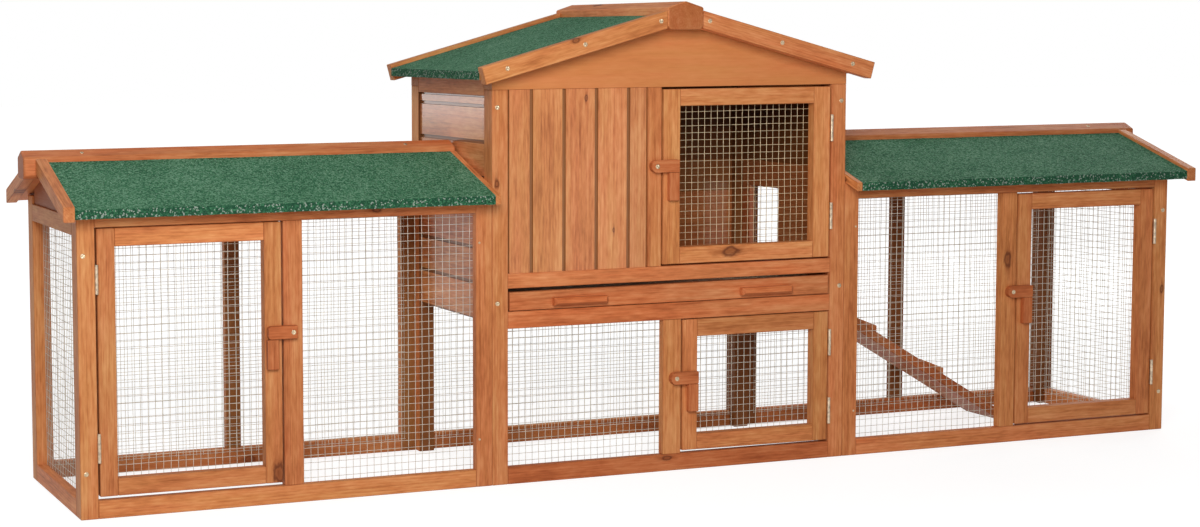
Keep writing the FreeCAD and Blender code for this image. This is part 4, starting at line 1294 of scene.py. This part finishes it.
class HUTCH_OT_hardware(bpy.types.Operator):
    """Plates the hinges, and sets a screw head wherever a screw or nail shows"""

    bl_idname = "hutch.hardware"
    bl_label = "Hinges and screws"
    bl_options = {"REGISTER", "UNDO"}

    def small_heads(self):
        """Screws on the front slopes of the run ridges, and nails in the posts beside the house."""
        heads = []
        for side, sign in zip(SIDES, (-1, 1)):
            low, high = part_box(f"{side}_run_ridge")
            slope = Vector((0, -RIDGE_CAP, high.y)).normalized()
            for x in RIDGE_SCREWS:
                heads.append((Vector((sign * x, low.y / 2, high.z - RIDGE_CAP / 2)), slope, RIDGE_SCREW_SIZE))
            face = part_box(f"{side}_run_front_frame")[0].y
            for z in POST_NAILS:
                heads.append((Vector((sign * POST_NAIL_X, face, z)), FORWARD, POST_NAIL_SIZE))
        return heads

    def execute(self, context):
        look = context.scene.hutch_hardware
        for node in HINGE_NODES:
            plated = NODES[node]
            plated.data.materials.clear()
            plated.data.materials.append(finish("dull_hinge"))
        heads = []
        for node in ("frame_screws", "latch_screws"):
            for triangles in solids(node):
                low, high = solid_box(triangles)
                place = Vector(((low + high).x / 2, low.y + look.head_height, (low + high).z / 2))
                heads.append((place, FORWARD, 1.0))
        heads += self.small_heads()
        points = bpy.data.meshes.new("screw_points")
        places, ways, sizes = zip(*heads)
        points.from_pydata(places, [], [])
        note_vectors(points, "facing", [value for way in ways for value in way])
        note_numbers(points, "size", "POINT", sizes)
        head = bpy.data.objects.new("screw_head", screw_head(look.head_radius, look.head_height))
        mesh = grown(screw_heads_tree(), points, {"Head": head, "Seed": look.seed})
        bpy.data.objects.remove(head)
        stand_for("frame_screws", mesh, "zinc_plate", "latch_screws")
        return {"FINISHED"}


class HUTCH_OT_stage(bpy.types.Operator):
    """Sets the pale floor, the soft lamps and the camera"""

    bl_idname = "hutch.stage"
    bl_label = "Stage"
    bl_options = {"REGISTER", "UNDO"}

    def seen(self, make, mirrored=1.0):
        """One for rays that show the background straight, and a given level for those that mirror it."""
        path = make.add("ShaderNodeLightPath").outputs
        straight = make.math("MAXIMUM", path["Is Camera Ray"], path["Is Transmission Ray"])
        return make.math("MAXIMUM", straight, make.math("MULTIPLY", path["Is Glossy Ray"], mirrored))

    def floor(self):
        """A floor that looks white and keeps the hutch's soft shadow."""
        half = FLOOR_SIZE / 2
        mesh = bpy.data.meshes.new("floor")
        corners = [(x * half, y * half, FLOOR_LEVEL) for x, y in ((-1, -1), (1, -1), (1, 1), (-1, 1))]
        mesh.from_pydata(corners, [], [(0, 1, 2, 3)])
        floor = placed("floor", mesh)
        material = bpy.data.materials.new("pale_floor")
        make = emptied(material)
        plain = make.add("ShaderNodeBsdfDiffuse", {"Color": (0.8, 0.8, 0.8, 1)})
        shaded = make.add("ShaderNodeBsdfDiffuse", {"Color": (0.4, 0.4, 0.4, 1)})
        away = make.math("DIVIDE", make.vector("LENGTH", make.place()), half)
        bright = make.level(away, (0.06, 0.8), (0.25, 1))
        glow = make.add("ShaderNodeEmission", {"Color": (1, 1, 1, 1), "Strength": bright})
        lit = make.add("ShaderNodeAddShader", {0: shaded.outputs[0], 1: glow.outputs[0]})
        both = make.add("ShaderNodeMixShader", {0: self.seen(make), 1: plain.outputs[0], 2: lit.outputs[0]})
        make.add("ShaderNodeOutputMaterial", {"Surface": both.outputs[0]})
        mesh.materials.append(material)

    def surroundings(self, look):
        """White where it is seen, and a plain even fill on everything else."""
        world = bpy.data.worlds.new("studio")
        bpy.context.scene.world = world
        make = emptied(world)
        fill = make.add("ShaderNodeBackground", {"Color": (1, 1, 1, 1), "Strength": look.fill})
        level = self.seen(make, look.gleam)
        white = make.add("ShaderNodeBackground", {"Color": (1, 1, 1, 1), "Strength": level})
        both = make.add("ShaderNodeMixShader", {0: self.seen(make), 1: fill.outputs[0], 2: white.outputs[0]})
        make.add("ShaderNodeOutputWorld", {"Surface": both.outputs[0]})

    def lamp(self, name, place, target, size, power):
        """A soft lamp of a width and a height, aimed at a point."""
        light = bpy.data.lights.new(name, "AREA")
        light.shape = "RECTANGLE"
        light.size, light.size_y = size
        light.energy = power
        lamp = placed(name, light)
        lamp.location = place
        lamp.rotation_euler = (Vector(target) - Vector(place)).to_track_quat("-Z", "Y").to_euler()

    def camera(self, look):
        """The camera where the picture was taken from."""
        yaw, pitch, roll = (math.radians(turn) for turn in (CAMERA_YAW, CAMERA_PITCH, CAMERA_ROLL))
        level_right = Vector((math.cos(yaw), -math.sin(yaw), 0))
        level_ahead = Vector((math.sin(yaw), math.cos(yaw), 0))
        ahead = math.cos(pitch) * level_ahead - math.sin(pitch) * UP
        upright = math.sin(pitch) * level_ahead + math.cos(pitch) * UP
        right = math.cos(roll) * level_right + math.sin(roll) * upright
        top = math.cos(roll) * upright - math.sin(roll) * level_right
        data = bpy.data.cameras.new("camera")
        data.lens = look.lens
        data.sensor_width = SENSOR_WIDTH
        data.shift_x, data.shift_y = CAMERA_SHIFT
        camera = placed("camera", data)
        turned = Matrix((right, top, -ahead)).transposed().to_4x4()
        camera.matrix_world = Matrix.Translation(CAMERA_PLACE) @ turned
        bpy.context.scene.camera = camera

    def execute(self, context):
        look = context.scene.hutch_stage
        context.scene.view_settings.view_transform = "Standard"
        self.floor()
        self.surroundings(look)
        for name, (place, target, size) in LAMPS.items():
            self.lamp(f"{name}_lamp", place, target, size, getattr(look, name))
        self.camera(look)
        return {"FINISHED"}


OPERATORS = (
    HUTCH_OT_frames,
    HUTCH_OT_boards,
    HUTCH_OT_roofs,
    HUTCH_OT_doors,
    HUTCH_OT_nets,
    HUTCH_OT_tray,
    HUTCH_OT_ramp,
    HUTCH_OT_hardware,
    HUTCH_OT_stage,
)
SETTINGS = {
    "hutch_wood": WoodSettings,
    "hutch_felt": FeltSettings,
    "hutch_wire": WireSettings,
    "hutch_hardware": HardwareSettings,
    "hutch_stage": StageSettings,
}


class HUTCH_PT_panel(bpy.types.Panel):
    """Lists the hutch's pieces and their settings"""

    bl_label = "Animal hutch"
    bl_space_type = "VIEW_3D"
    bl_region_type = "UI"
    bl_category = "Hutch"

    def draw(self, context):
        for operator in OPERATORS:
            self.layout.operator(operator.bl_idname)
        for name, group in SETTINGS.items():
            box = self.layout.box()
            for setting in group.__annotations__:
                box.prop(getattr(context.scene, name), setting)


CLASSES = (*SETTINGS.values(), *OPERATORS, HUTCH_PT_panel)


def register():
    for cls in CLASSES:
        bpy.utils.register_class(cls)
    for name, group in SETTINGS.items():
        setattr(bpy.types.Scene, name, bpy.props.PointerProperty(type=group))


def unregister():
    for name in SETTINGS:
        delattr(bpy.types.Scene, name)
    for cls in reversed(CLASSES):
        bpy.utils.unregister_class(cls)


def main():
    register()
    for piece in ("stage", "frames", "boards", "roofs", "doors", "nets", "tray", "ramp", "hardware"):
        getattr(bpy.ops.hutch, piece)()


if __name__ == "__main__":
    main()
